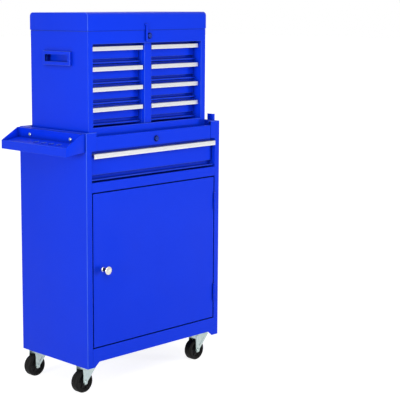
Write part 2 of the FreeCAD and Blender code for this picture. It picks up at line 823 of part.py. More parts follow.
# The box is folded from one sheet: a front with a groove and a lip along its foot,
# a floor, low sides whose tops fold out into the runners, and a lower back.
def make_drawer(name, half_front, half_box, rail, face, length, sizes, x, z):
    body = new_body(name)
    steel = s.drawer_steel
    low, groove, lip_front, lip_top, lip_low, top, back_top = sizes
    deep = face + groove
    pad(body, name + "_front", "x", -half_front, half_front, [[
        (face, -s.pull_wall), (face, low), (deep, low), (deep, lip_top), (lip_front, lip_top),
        (lip_front, lip_low), (lip_front + steel, lip_low), (lip_front + steel, lip_top - steel),
        (deep + steel, lip_top - steel), (deep + steel, low + steel), (face + steel, low + steel),
        (face + steel, -s.pull_wall)]])
    pad(body, name + "_sides", "y", face + steel, face + length, [[
        (-half_box, low), (half_box, low), (half_box, top - steel), (half_box + rail, top - steel),
        (half_box + rail, top), (half_box - steel, top), (half_box - steel, low + steel),
        (steel - half_box, low + steel), (steel - half_box, top), (-half_box - rail, top),
        (-half_box - rail, top - steel), (-half_box, top - steel)]])
    pad(body, name + "_back", "y", face + length - steel, face + length,
        [rectangle(-half_box, half_box, low, back_top)])
    move(body, x, 0, z)
    return node(name, body)


# A runner is a channel that the drawer's folded side slides in. Its web stands at edge,
# and inward is the way along X from the web to the drawer, +1 or -1.
def runner_section(edge, fold_top, inward, depth):
    steel, gap = s.runner_steel, s.slide_clearance
    top = fold_top + gap
    low = fold_top - s.drawer_steel - gap
    web = edge + steel * inward
    lip = edge + depth * inward
    return [(edge, low - steel), (lip, low - steel), (lip, low), (web, low), (web, top), (lip, top),
            (lip, top + steel), (edge, top + steel)]


def rail_width(space):
    return space - s.runner_steel - s.slide_side_clearance


def make_wide_drawer():
    face = front + s.wide_face_setback
    half_box = opening_side - s.wide_slide_space
    lip_top = wide_lip_top - wide_pull_top
    sizes = (-s.wide_face_height, s.wide_groove, front + s.wide_lip_setback, lip_top,
             lip_top - s.wide_lip_drop, -s.wide_rail_level, -s.wide_back_height)
    make_drawer("wide_drawer_box", opening_side - s.door_gap, half_box, rail_width(s.wide_slide_space),
                face, s.wide_box_length, sizes, 0, wide_pull_top)
    make_pull("wide_drawer_pull", opening_side - s.wide_pull_inset, front - s.wide_pull_proud, face,
              s.wide_pull_height, 0, wide_pull_top)
    runners = []
    for name, turn in SIDES.items():
        body = new_body("wide_runner_" + name)
        pad(body, "wide_runner_" + name + "_channel", "y", front + s.rail_flange, back - s.steel * 2,
            [runner_section(opening_side * turn, wide_pull_top - s.wide_rail_level, -turn,
                            s.wide_slide_space - s.slide_side_clearance)])
        runners.append(body)
    group("wide_drawer_runners", runners)


column_width = chest_opening - s.mullion_width / 2
column_middle = (chest_opening + s.mullion_width / 2) / 2


def make_small_drawers():
    face = chest_front + s.small_face_setback
    half_box = column_width / 2 - s.small_slide_space
    lip_top = -s.small_lip_level
    sizes = (-s.small_face_height, s.small_groove, chest_front + s.small_lip_setback, lip_top,
             lip_top - s.small_lip_drop, -s.small_rail_level, -s.small_rail_level - s.small_back_drop)
    for side, turn in SIDES.items():
        for row in range(ROWS):
            x, z = column_middle * turn, first_pull_top - s.drawer_pitch * row
            name = "%s_drawer_%d" % (side, row + 1)
            make_drawer(name + "_box", column_width / 2 - s.small_front_gap, half_box,
                        rail_width(s.small_slide_space), face, s.small_box_length, sizes, x, z)
            make_pull(name + "_pull", column_width / 2 - s.small_pull_inset,
                      chest_front + s.small_pull_setback, face, s.small_pull_height, x, z)


# The runners of the chest are spot-welded to a lining behind each stile and to both
# faces of the divider behind the mullion.
def make_chest_runners():
    low_y = chest_front + s.chest_steel + s.chest_flange
    high_y = chest_back - s.chest_steel
    channel_y = chest_front + s.small_face_setback + s.drawer_steel + s.slide_clearance
    depth = s.small_slide_space - s.slide_side_clearance
    fold = first_pull_top - s.small_rail_level - s.drawer_pitch * (ROWS - 1)
    low, high = chest_low + s.chest_steel, chest_floor
    linings = []
    for side, turn in SIDES.items():
        body = new_body("chest_%s_runners" % side)
        near, far = ordered([chest_opening * turn, (chest_opening + s.chest_steel) * turn])
        pad(body, side + "_lining", "x", near, far, [rectangle(low_y, high_y, low, high)])
        channel = pad(body, side + "_channel", "y", channel_y, high_y,
                      [runner_section(chest_opening * turn, fold, -turn, depth)])
        repeated(body, side + "_channels", [channel], "z", ROWS, s.drawer_pitch)
        linings.append(body)
    group("chest_runners", linings)
    body = new_body("chest_divider")
    half = s.mullion_width / 2
    inner = half - s.chest_steel
    pad(body, "divider_box", "z", low, high,
        [rectangle(-half, half, low_y + s.mullion_setback, high_y),
         rectangle(-inner, inner, low_y + s.mullion_setback + s.chest_steel, high_y - s.chest_steel)])
    channels = [pad(body, side + "_divider_channel", "y", channel_y, high_y,
                    [runner_section(half * turn, fold, turn, depth)])
                for side, turn in SIDES.items()]
    repeated(body, "divider_channels", channels, "z", ROWS, s.drawer_pitch)
    return group("chest_divider", [make_mullion(), body])


# Chest

def make_chest_shell():
    body = new_body("chest_shell")
    steel = s.chest_steel
    side = chest_side - steel
    pad(body, "shell_block", "z", chest_low, chest_seam_height,
        [rectangle(-chest_side, chest_side, chest_front + steel, chest_back)])
    pocket(body, "shell_inside", "z", chest_low + steel, chest_seam_height,
           [rectangle(-side, side, chest_front + steel, chest_back - steel)])
    grip, half = s.grip_length / 2, s.grip_height / 2
    pocket(body, "grip_holes", "x", -chest_side, chest_side,
           [rectangle(s.handle_middle_y - grip, s.handle_middle_y + grip,
                      handle_middle_height - half, handle_middle_height + half)])
    return node("chest_shell", body)


def make_chest_front():
    body = new_body("chest_front_frame")
    steel = s.chest_steel
    low, high = chest_opening_low, chest_floor
    window = rectangle(-chest_opening, chest_opening, low, high)
    collar = rectangle(-chest_opening - steel, chest_opening + steel, low - steel, high + steel)
    pad(body, "frame_sheet", "y", chest_front, chest_front + steel,
        [rectangle(-chest_side, chest_side, chest_low, chest_seam_height), window])
    pad(body, "frame_collar", "y", chest_front, chest_front + steel + s.chest_flange, [collar, window])
    pocket(body, "frame_lock_hole", "y", chest_front, chest_front + steel,
           circles=[(0, chest_lock_height, s.lock_sleeve_radius + s.lock_hole_clearance)])
    return node("chest_front_frame", body)


def make_mullion():
    body = new_body("chest_mullion")
    half = s.mullion_width / 2
    inner = half - s.chest_steel
    face = chest_front + s.mullion_setback
    rear = chest_front + s.chest_steel + s.chest_flange + s.mullion_setback
    pad(body, "mullion_channel", "z", chest_opening_low, chest_floor, [[
        (-half, face), (half, face), (half, rear), (inner, rear), (inner, face + s.chest_steel),
        (-inner, face + s.chest_steel), (-inner, rear), (-half, rear)]])
    return body


# The top compartment is a collar welded inside the chest's walls, which also centres
# the lid, and a flat sheet for its floor.
def make_chest_pan():
    collar = new_body("chest_pan_collar")
    steel = s.chest_steel
    side, low_y, high_y = chest_side - steel, chest_front + steel, chest_back - steel
    top = chest_seam_height + s.chest_pan_rise
    low = chest_floor + steel
    inside = rectangle(steel - side, side - steel, low_y + steel, high_y - steel)
    pad(collar, "collar_walls", "z", low, top, [rectangle(-side, side, low_y, high_y), inside])
    pocket(collar, "collar_lock_hole", "y", low_y, low_y + steel,
           circles=[(0, chest_lock_height, s.lock_sleeve_radius + s.lock_hole_clearance)])
    floor = new_body("chest_pan_floor")
    pad(floor, "pan_floor_sheet", "z", low, low + steel, [inside])
    return group("chest_pan", [collar, floor])


def make_chest_mat():
    body = new_body("chest_mat")
    edge = s.chest_steel * 2 + s.rest_gap
    floor = chest_floor + s.chest_steel * 2
    pad(body, "mat_sheet", "z", floor, floor + s.chest_mat,
        [rectangle(edge - chest_side, chest_side - edge, chest_front + edge, chest_back - edge)])
    return node("chest_mat", body)


# A side handle is a pressed frame that stands proud of the chest, open in its middle.
def make_side_handle(name, turn):
    body = new_body(name + "_side_handle")
    steel = s.chest_steel
    middle_y, middle_z = s.handle_middle_y, handle_middle_height

    def frame(length, height):
        return rectangle(middle_y - length / 2, middle_y + length / 2,
                         middle_z - height / 2, middle_z + height / 2)

    near, skin, far = [reach * turn for reach in (
        chest_side, chest_side + s.handle_proud - steel, chest_side + s.handle_proud)]
    low, high = ordered([near, far])
    pad(body, name + "_handle_block", "x", low, high, [frame(s.handle_length, s.handle_height)])
    low, high = ordered([near, skin])
    pocket(body, name + "_handle_inside", "x", low, high,
           [frame(s.handle_length - steel * 2, s.handle_height - steel * 2)])
    low, high = ordered([near, far])
    pocket(body, name + "_handle_grip", "x", low, high, [frame(s.grip_length, s.grip_height)])
    return body


# Locks: a ring and sleeve fixed in the sheet, and a plug that turns with its cam.
def make_lock(name, face, level, sleeve, cam_setback, cam_length, cam_down):
    body = new_body(name + "_sleeve")
    bore = s.lock_plug_radius + s.pin_clearance
    turned(body, name + "_ring", [
        (bore, -sleeve), (s.lock_sleeve_radius, -sleeve), (s.lock_sleeve_radius, 0),
        (s.lock_ring_radius, 0), (s.lock_ring_radius, s.lock_proud, s.lock_ring_round),
        (bore, s.lock_proud)])
    body.Placement = facing_front()
    move(body, 0, face, level)
    node(name + "_sleeve", body)
    plug = new_body(name + "_plug")
    dish = s.lock_proud - s.cam_thickness
    rim, core = s.lock_shaft_radius + s.lock_groove, s.lock_shaft_radius - s.lock_groove
    turned(plug, name + "_barrel", [
        (0, -cam_setback), (s.lock_shaft_radius, -cam_setback), (s.lock_shaft_radius, -sleeve),
        (s.lock_plug_radius, -sleeve), (s.lock_plug_radius, s.lock_proud),
        (rim, s.lock_proud), (rim, dish), (core, dish), (core, s.lock_proud), (0, s.lock_proud)])
    half = s.cam_width / 2
    arm = (-half, half, -cam_length, half) if cam_down else (-half, cam_length, -half, half)
    pad(plug, name + "_cam", "y", -cam_setback - s.cam_thickness, -cam_setback, [rectangle(*arm)])
    plug.Placement = facing_front()
    move(plug, 0, face, level)
    node(name + "_plug", plug)


# Lid

def make_lid():
    body = new_body("lid_shell")
    steel = s.chest_steel
    high = lid_high
    pad(body, "lid_block", "x", -lid_side, lid_side, [[
        (lid_front, lid_low), (lid_front, high, s.lid_round), (lid_back, high, s.lid_round),
        (lid_back, lid_low)]])
    round_inside = s.lid_round - steel
    pocket(body, "lid_inside", "x", steel - lid_side, lid_side - steel, [[
        (lid_front + steel, lid_low), (lid_front + steel, high - steel, round_inside),
        (lid_back - steel, high - steel, round_inside), (lid_back - steel, lid_low)]])
    return node("lid_shell", body)


# The strap hangs over the chest's top rail beside the lock and opens with the lid.
def make_strap():
    body = new_body("lid_strap")
    face = lid_front - s.strap_thickness
    hook = face - s.strap_hook
    half = s.strap_width / 2
    pad(body, "strap_section", "x", -s.strap_offset - half, half - s.strap_offset, [[
        (lid_front, strap_high), (hook, strap_high), (hook, strap_high - s.strap_thickness),
        (face, strap_high - s.strap_thickness), (face, strap_low), (lid_front, strap_low)]])
    return node("lid_strap", body)


# The hook inside the lid reaches down behind the pan's wall to the lock's cam.
def make_lock_hook():
    body = new_body("lid_lock_hook")
    steel = s.chest_steel
    inner = lid_front + steel
    leg = inner + s.chest_pan_rise
    level = chest_seam_height + s.chest_pan_rise + steel * 2
    pad(body, "hook_section", "x", s.hook_offset - s.hook_width / 2, s.hook_offset + s.hook_width / 2, [[
        (inner, level), (inner, level + steel), (leg, level + steel), (leg, hook_low + steel),
        (leg + s.hook_width, hook_low + steel), (leg + s.hook_width, hook_low),
        (leg - steel, hook_low), (leg - steel, level)]])
    return node("lid_lock_hook", body)


# The long hinge behind the lid: knuckles of the two leaves alternate along one pin.
def make_lid_hinge():
    steel = s.lid_leaf
    pitch = s.lid_knuckle_length
    start = -pitch * LID_KNUCKLES / 2
    bore = s.lid_pin_radius + s.pin_clearance
    half_gap = s.knuckle_gap / 2
    span = pitch * LID_KNUCKLES
    leaves = {}
    plans = {
        "chest_hinge_leaf": (0, chest_back, lid_axis_z - s.lid_tab, -1),
        "lid_hinge_leaf": (1, lid_back, lid_axis_z + s.lid_tab, 1),
    }
    for name, (first, skin, edge, up) in plans.items():
        body = new_body(name)
        far = edge + s.lid_leaf_height * up
        low, high = ordered([edge, far])
        pad(body, name + "_plate", "y", skin, skin + steel, [rectangle(start, start + span, low, high)])
        low_x = start + pitch * first + half_gap
        high_x = start + pitch * (first + 1) - half_gap
        reach = lid_axis_y - bore - s.rest_gap
        tab_low, tab_high = ordered([edge, lid_axis_z + s.rest_gap * (up + 1) / 2])
        tab = pad(body, name + "_tab", "x", low_x, high_x, [rectangle(skin, reach, tab_low, tab_high)])
        barrel = knuckle(body, name + "_knuckle", "x", low_x, high_x, lid_axis_y, lid_axis_z,
                         s.lid_knuckle_radius, bore)
        count = (LID_KNUCKLES + 1) // 2 if first == 0 else LID_KNUCKLES // 2
        repeated(body, name + "_knuckles", [tab, barrel], "x", count, pitch * 2)
        leaves[name] = body
    pin = new_body("lid_hinge_pin")
    pad(pin, "lid_pin_rod", "x", start, start + span, circles=[(lid_axis_y, lid_axis_z, s.lid_pin_radius)])
    group("chest_hinge_leaf", [leaves["chest_hinge_leaf"], pin])
    node("lid_hinge_leaf", leaves["lid_hinge_leaf"])


# Casters

def make_wheel(name, x, y):
    body = new_body(name)
    bore = s.axle_radius + s.pin_clearance
    hub, half = s.wheel_width / 2 + s.wheel_hub_proud, s.wheel_width / 2
    dish = half - s.wheel_dish
    inside = s.wheel_radius - s.wheel_tread
    turned(body, name + "_turn", [
        (bore, -hub), (s.wheel_hub_radius, -hub), (s.wheel_hub_radius, -dish), (inside, -dish),
        (inside, -half), (s.wheel_radius, -half, s.wheel_round), (s.wheel_radius, half, s.wheel_round),
        (inside, half), (inside, dish), (s.wheel_hub_radius, dish), (s.wheel_hub_radius, hub), (bore, hub)])
    move(body, x - s.caster_trail, y, s.wheel_radius)
    return node(name, body)


# A fork is a folded steel yoke: two legs, a top web and a round bearing seat, with
# the wheel's bolt through its feet.
def make_fork(name, x, y):
    body = new_body(name)
    inside = s.wheel_width / 2 + s.wheel_hub_proud + s.fork_side_gap
    outside = inside + s.fork_wall
    axle_x, axle_z, foot = -s.caster_trail, s.wheel_radius, s.fork_foot_radius
    top, web = s.fork_top, s.fork_top - s.fork_wall
    shoulder = s.fork_foot_radius
    pad(body, name + "_legs", "y", -outside, outside, [[
        (axle_x - foot, axle_z), (axle_x + foot, axle_z), (s.fork_front_reach, top - shoulder),
        (s.fork_front_reach, top), (axle_x, top), (axle_x - foot, top - shoulder)]])
    pad(body, name + "_feet", "y", -outside, outside, circles=[(axle_x, axle_z, foot)])
    pad(body, name + "_seat", "z", web, top, circles=[(0, 0, s.fork_disk_radius)])
    pocket(body, name + "_wheel_space", "y", -inside, inside,
           [rectangle(axle_x - foot * 2, s.fork_front_reach * 2, axle_z - foot * 2, web)])
    pocket(body, name + "_kingpin_hole", "z", web, top, circles=[(0, 0, s.kingpin_radius + s.pin_clearance)])
    pocket(body, name + "_axle_holes", "y", -outside, outside,
           circles=[(axle_x, axle_z, s.axle_radius + s.pin_clearance)])
    move(body, x, y, 0)
    axle = new_body(name + "_axle")
    head, ledge = s.axle_head_radius, s.axle_head_height
    for part, low, high, radius in (("rod", -outside, outside, s.axle_radius),
                                    ("head", -outside - ledge, -outside, head),
                                    ("nut", outside, outside + ledge, head)):
        pad(axle, name + "_axle_" + part, "y", low, high, circles=[(0, 0, radius)])
    move(axle, x - s.caster_trail, y, s.wheel_radius)
    return group(name, [body, axle])


# The fixed half of a caster: bolted plate, bearing race and riveted kingpin.
def make_caster_plate(name, x, y):
    body = new_body(name)
    low = s.floor_height - s.plate_thickness
    half_x, half_y = s.plate_length / 2, s.plate_width / 2
    head_top = s.fork_top - s.fork_wall - s.rest_gap
    pad(body, name + "_sheet", "z", low, s.floor_height, [rectangle(-half_x, half_x, -half_y, half_y)])
    pad(body, name + "_race", "z", s.fork_top + s.rest_gap, low, circles=[(0, 0, s.race_radius)])
    pad(body, name + "_kingpin", "z", head_top, s.fork_top + s.rest_gap, circles=[(0, 0, s.kingpin_radius)])
    pad(body, name + "_rivet", "z", head_top - s.plate_thickness, head_top,
        circles=[(0, 0, s.kingpin_rivet_radius)])
    holes = [(s.plate_bolt_spacing_x / 2 * along, s.plate_bolt_spacing_y / 2 * across,
              s.plate_bolt_radius + s.bolt_clearance) for along in (-1, 1) for across in (-1, 1)]
    pocket(body, name + "_holes", "z", low, s.floor_height, circles=holes)
    move(body, x, y, 0)
    return body


def make_bolt(name, x, y):
    low = s.floor_height - s.plate_thickness
    nut = s.plate_nut_height
    shank = doc.addObject("Part::Cylinder", name + "_shank")
    shank.setExpression("Radius", s.plate_bolt_radius.text)
    shank.setExpression("Height", (s.plate_thickness + s.steel + nut).text)
    move(shank, x, y, low - nut)
    ends = []
    for part, level in (("_nut", low - nut), ("_head", s.floor_height + s.steel)):
        prism = doc.addObject("Part::Prism", name + part)
        prism.Polygon = 6
        prism.setExpression("Circumradius", s.plate_nut_radius.text)
        prism.setExpression("Height", nut.text)
        move(prism, x, y, level)
        ends.append(prism)
    bolt = doc.addObject("Part::MultiFuse", name)
    bolt.Shapes = [shank] + ends
    return bolt


def make_casters():
    plates, bolts = [], []
    for side, turn in SIDES.items():
        for end, along in ENDS.items():
            place = "%s_%s" % (end, side)
            x, y = caster_x * turn, caster_y * along
            make_fork("caster_fork_" + place, x, y)
            make_wheel("caster_wheel_" + place, x, y)
            plates.append(make_caster_plate("plate_" + place, x, y))
            for number, (u, v) in enumerate([(-1, -1), (1, -1), (-1, 1), (1, 1)], start=1):
                bolts.append(make_bolt("bolt_%s_%d" % (place, number), x + s.plate_bolt_spacing_x / 2 * u,
                                       y + s.plate_bolt_spacing_y / 2 * v))
    group("caster_plates", plates)
    group("cabinet_fasteners", bolts + make_side_screws())


for side, turn in SIDES.items():
    make_side_panel(side, turn)
group("chest_side_handles", [make_side_handle(side, turn) for side, turn in SIDES.items()])
make_back_panel()
make_top_front_panel()
group("front_rails", [make_middle_rail(), make_bottom_rail()])
make_floor_panel()
make_top_pan()
make_top_mat()
make_side_tray()
make_hanger()
make_door()
make_knob()
make_door_hinges()
make_catch()
make_wide_drawer()
make_small_drawers()
make_chest_runners()
make_chest_shell()
make_chest_front()
make_chest_pan()
make_chest_mat()
make_lock("cabinet_lock", panel_front, cabinet_lock_height, s.cabinet_lock_sleeve,
          s.cabinet_cam_setback, s.cabinet_cam_length, False)
make_lock("chest_lock", chest_front, chest_lock_height, s.chest_lock_sleeve,
          s.chest_cam_setback, s.chest_cam_length, True)
make_lid()
make_strap()
make_lock_hook()
make_lid_hinge()
make_casters()

doc.recompute()

for item in doc.Objects:
    if "Invalid" in item.State or "Error" in item.State:
        raise RuntimeError("%s did not build: %s" % (item.Name, item.State))
for label, item in nodes.items():
    if item.Shape.isNull() or not item.Shape.isValid():
        raise RuntimeError("%s has no valid shape" % label)

os.makedirs("parts", exist_ok=True)
for label, item in nodes.items():
    item.Shape.exportStep("parts/%s.step" % label)
print(len(nodes), "nodes")
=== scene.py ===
import bpy, bmesh, json
from math import cos, pi, radians, sin
from mathutils import Matrix, Vector


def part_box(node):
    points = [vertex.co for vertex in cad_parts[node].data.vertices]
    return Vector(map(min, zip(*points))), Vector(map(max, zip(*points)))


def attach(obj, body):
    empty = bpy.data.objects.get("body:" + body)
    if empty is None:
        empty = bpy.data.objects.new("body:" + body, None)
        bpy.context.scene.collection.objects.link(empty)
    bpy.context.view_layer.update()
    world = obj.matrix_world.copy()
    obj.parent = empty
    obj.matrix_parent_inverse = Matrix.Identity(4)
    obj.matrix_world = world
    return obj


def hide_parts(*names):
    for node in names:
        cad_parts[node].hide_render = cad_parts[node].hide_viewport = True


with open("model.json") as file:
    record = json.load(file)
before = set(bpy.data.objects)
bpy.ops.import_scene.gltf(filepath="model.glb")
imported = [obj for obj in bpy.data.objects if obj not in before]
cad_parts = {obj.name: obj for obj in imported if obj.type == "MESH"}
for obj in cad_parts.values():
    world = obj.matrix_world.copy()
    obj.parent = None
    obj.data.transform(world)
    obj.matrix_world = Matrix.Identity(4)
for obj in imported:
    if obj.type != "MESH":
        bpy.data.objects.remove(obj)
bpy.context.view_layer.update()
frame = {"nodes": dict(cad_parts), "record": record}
scene = bpy.context.scene
nodes = frame["nodes"]
mm = 0.001
crease = 30.0  # degrees from which an edge stays sharp
sides = ("left", "right")
corners = ("front_left", "front_right", "rear_left", "rear_right")
drawerNames = ["%s_drawer_%d" % (side, number) for side in sides for number in (1, 2, 3, 4)]
bodyOf = {}
for bodyName, members in frame["record"]["behaviour"]["bodies"].items():
    for member in members:
        bodyOf[member] = bodyName
print("frame loaded:", len(nodes), "nodes")


# Node helpers

def addNode(tree, kind, **settings):
    made = tree.nodes.new(kind)
    for key, value in settings.items():
        setattr(made, key, value)
    return made


def link(socket, target, label):
    target.id_data.links.new(socket, target.inputs[label])


# A new tree, the sockets of its input node, and its output node.
def newGroup(name, kind, inputs, outputs):
    tree = bpy.data.node_groups.new(name, kind)
    for label, socketKind, start in inputs:
        socket = tree.interface.new_socket(label, in_out="INPUT", socket_type="NodeSocket" + socketKind)
        if start is not None:
            socket.default_value = start
    for label, socketKind in outputs:
        tree.interface.new_socket(label, in_out="OUTPUT", socket_type="NodeSocket" + socketKind)
    return tree, tree.nodes.new("NodeGroupInput").outputs, tree.nodes.new("NodeGroupOutput")


def addMath(tree, operation, first, second):
    made = addNode(tree, "ShaderNodeMath", operation=operation)
    for socket, value in zip(made.inputs, (first, second)):
        if isinstance(value, (int, float)):
            socket.default_value = value
        else:
            tree.links.new(value, socket)
    return made.outputs[0]


def addNoise(tree, place, detail):
    noise = addNode(tree, "ShaderNodeTexNoise")
    noise.inputs["Detail"].default_value = detail
    link(place, noise, "Vector")
    return noise


def addBump(tree, height, strength, distance):
    bump = addNode(tree, "ShaderNodeBump")
    bump.inputs["Distance"].default_value = distance
    link(strength, bump, "Strength")
    link(height, bump, "Height")
    return bump.outputs["Normal"]


def spreadValue(tree, value, low, high, start=0.0, stop=1.0):
    spread = addNode(tree, "ShaderNodeMapRange")
    for label, level in (("From Min", start), ("From Max", stop), ("To Min", low), ("To Max", high)):
        spread.inputs[label].default_value = level
    link(value, spread, "Value")
    return spread.outputs["Result"]


# Sprayed and cured paint: slow waves with a finer pebble on them.
peel = {"waveDetail": 1.0, "pebbleDetail": 2.0, "cloudDetail": 3.0, "cloudScale": 7.0, "waveShare": 0.7,
        "pebbleShare": 0.3, "height": 0.0003}


def makePaintPeel():
    tree, given, out = newGroup("paintPeel", "ShaderNodeTree",
        [("Wave Scale", "Float", 160.0), ("Pebble Scale", "Float", 900.0),
         ("Depth", "Float", 0.1)],
        [("Normal", "Vector"), ("Tone", "Float")])
    place = addNode(tree, "ShaderNodeTexCoord").outputs["Object"]
    waves = addNoise(tree, place, peel["waveDetail"])
    pebbles = addNoise(tree, place, peel["pebbleDetail"])
    clouds = addNoise(tree, place, peel["cloudDetail"])
    clouds.inputs["Scale"].default_value = peel["cloudScale"]
    link(given["Wave Scale"], waves, "Scale")
    link(given["Pebble Scale"], pebbles, "Scale")
    height = addMath(tree, "ADD", addMath(tree, "MULTIPLY", waves.outputs["Fac"], peel["waveShare"]),
                     addMath(tree, "MULTIPLY", pebbles.outputs["Fac"], peel["pebbleShare"]))
    normal = addBump(tree, height, given["Depth"], peel["height"])
    link(normal, out, "Normal")
    link(clouds.outputs["Fac"], out, "Tone")
    return tree


# Where hands and rags have been: broad smudges and a few fine rubs, from 0 to 1.
touch = {"smudgeDetail": 4.0, "rubDetail": 6.0, "rubStretch": (1.0, 1.0, 0.18), "clean": 0.12, "worn": 0.42}


def makeHandling():
    tree, given, out = newGroup("handling", "ShaderNodeTree",
        [("Smudge Scale", "Float", 12.0), ("Rub Scale", "Float", 60.0)],
        [("Mask", "Float")])
    place = addNode(tree, "ShaderNodeTexCoord").outputs["Object"]
    smudge = addNoise(tree, place, touch["smudgeDetail"])
    stretch = addNode(tree, "ShaderNodeMapping")
    stretch.inputs["Scale"].default_value = touch["rubStretch"]
    link(place, stretch, "Vector")
    rubs = addNoise(tree, stretch.outputs["Vector"], touch["rubDetail"])
    link(given["Smudge Scale"], smudge, "Scale")
    link(given["Rub Scale"], rubs, "Scale")
    both = addMath(tree, "MULTIPLY", smudge.outputs["Fac"], rubs.outputs["Fac"])
    mask = spreadValue(tree, both, 0.0, 1.0, touch["clean"], touch["worn"])
    link(mask, out, "Mask")
    return tree


# Metal brushed or drawn in one direction.
brush = {"detail": 3.0, "height": 0.0001}


def makeDrawnMetal():
    tree, given, out = newGroup("drawnMetal", "ShaderNodeTree",
        [("Along", "Vector", (1.0, 40.0, 40.0)), ("Scale", "Float", 60.0),
         ("Depth", "Float", 0.1)],
        [("Normal", "Vector"), ("Line", "Float")])
    place = addNode(tree, "ShaderNodeTexCoord")
    stretch = addNode(tree, "ShaderNodeVectorMath", operation="MULTIPLY")
    link(place.outputs["Object"], stretch, 0)
    link(given["Along"], stretch, 1)
    lines = addNoise(tree, stretch.outputs["Vector"], brush["detail"])
    link(given["Scale"], lines, "Scale")
    normal = addBump(tree, lines.outputs["Fac"], given["Depth"], brush["height"])
    link(normal, out, "Normal")
    link(lines.outputs["Fac"], out, "Line")
    return tree


paintPeel = makePaintPeel()
handling = makeHandling()
drawnMetal = makeDrawnMetal()


def addGroup(tree, group, **values):
    made = addNode(tree, "ShaderNodeGroup", node_tree=group)
    for label, value in values.items():
        made.inputs[label.replace("_", " ")].default_value = value
    return made


def startMaterial(name, colour, roughness, metallic=0.0, gloss=0.5):
    material = bpy.data.materials.new(name)
    material.use_nodes = True
    tree = material.node_tree
    shader = tree.nodes["Principled BSDF"]
    shader.inputs["Base Color"].default_value = (*colour, 1.0)
    shader.inputs["Roughness"].default_value = roughness
    shader.inputs["Metallic"].default_value = metallic
    shader.inputs["Specular IOR Level"].default_value = gloss
    material.diffuse_color = (*colour, 1.0)
    return material, tree, shader


def blendColours(tree, factor, low, high):
    mix = addNode(tree, "ShaderNodeMix", data_type="RGBA")
    link(factor, mix, "Factor")
    mix.inputs["A"].default_value = (*low, 1.0)
    mix.inputs["B"].default_value = (*high, 1.0)
    return mix.outputs["Result"]


# Painted shade: the paint's colour is darkened where it faces another surface closely, as shade falls in gaps
# and crevices.
creviceShade = {"reach": 0.016, "samples": 6, "darkest": 0.22}


def paintCreviceShade(tree, colour):
    closeness = addNode(tree, "ShaderNodeAmbientOcclusion", samples=creviceShade["samples"])
    closeness.inputs["Distance"].default_value = creviceShade["reach"]
    level = spreadValue(tree, closeness.outputs["AO"], creviceShade["darkest"], 1.0)
    shade = addNode(tree, "ShaderNodeVectorMath", operation="SCALE")
    link(colour, shade, 0)
    link(level, shade, "Scale")
    return shade.outputs["Vector"]


# Every finish has a colour, a fine relief, and a roughness that grows where it was handled.
def linkFinish(tree, shader, colour, relief, hands, roughness, wear):
    link(colour, shader, "Base Color")
    worn = spreadValue(tree, hands.outputs["Mask"], roughness, roughness + wear)
    link(worn, shader, "Roughness")
    link(relief.outputs["Normal"], shader, "Normal")


paintLook = {"gloss": 0.15, "smudge": 9.0, "wear": 0.09}
metalLook = {"smudge": 25.0, "wear": 0.1}
rubberLook = {"gloss": 0.14, "smudge": 30.0, "wear": 0.12, "pebblesInWave": 6}


def makePaint(name, low, high, roughness, depth):
    material, tree, shader = startMaterial(name, high, roughness, gloss=paintLook["gloss"])
    relief = addGroup(tree, paintPeel, Depth=depth)
    hands = addGroup(tree, handling, Smudge_Scale=paintLook["smudge"])
    # The paint's colour carries painted shade in its gaps and crevices.
    colour = paintCreviceShade(tree, blendColours(tree, relief.outputs["Tone"], low, high))
    linkFinish(tree, shader, colour, relief, hands, roughness, paintLook["wear"])
    return material


def makeMetal(name, low, high, roughness, along, scale, depth):
    material, tree, shader = startMaterial(name, high, roughness, metallic=1.0)
    relief = addGroup(tree, drawnMetal, Along=along, Scale=scale, Depth=depth)
    hands = addGroup(tree, handling, Smudge_Scale=metalLook["smudge"])
    colour = blendColours(tree, relief.outputs["Line"], low, high)
    linkFinish(tree, shader, colour, relief, hands, roughness, metalLook["wear"])
    return material


def makeRubber(name, low, high, roughness, pebble, depth):
    material, tree, shader = startMaterial(name, high, roughness, gloss=rubberLook["gloss"])
    relief = addGroup(tree, paintPeel, Wave_Scale=pebble / rubberLook["pebblesInWave"], Pebble_Scale=pebble,
                      Depth=depth)
    hands = addGroup(tree, handling, Smudge_Scale=rubberLook["smudge"])
    colour = blendColours(tree, hands.outputs["Mask"], low, high)
    linkFinish(tree, shader, colour, relief, hands, roughness, rubberLook["wear"])
    return material


# How far a metal's grain is stretched along each axis.
grain = {"none": (1.0, 1.0, 1.0), "drawn": (1.0, 45.0, 45.0), "turned": (1.0, 30.0, 1.0)}

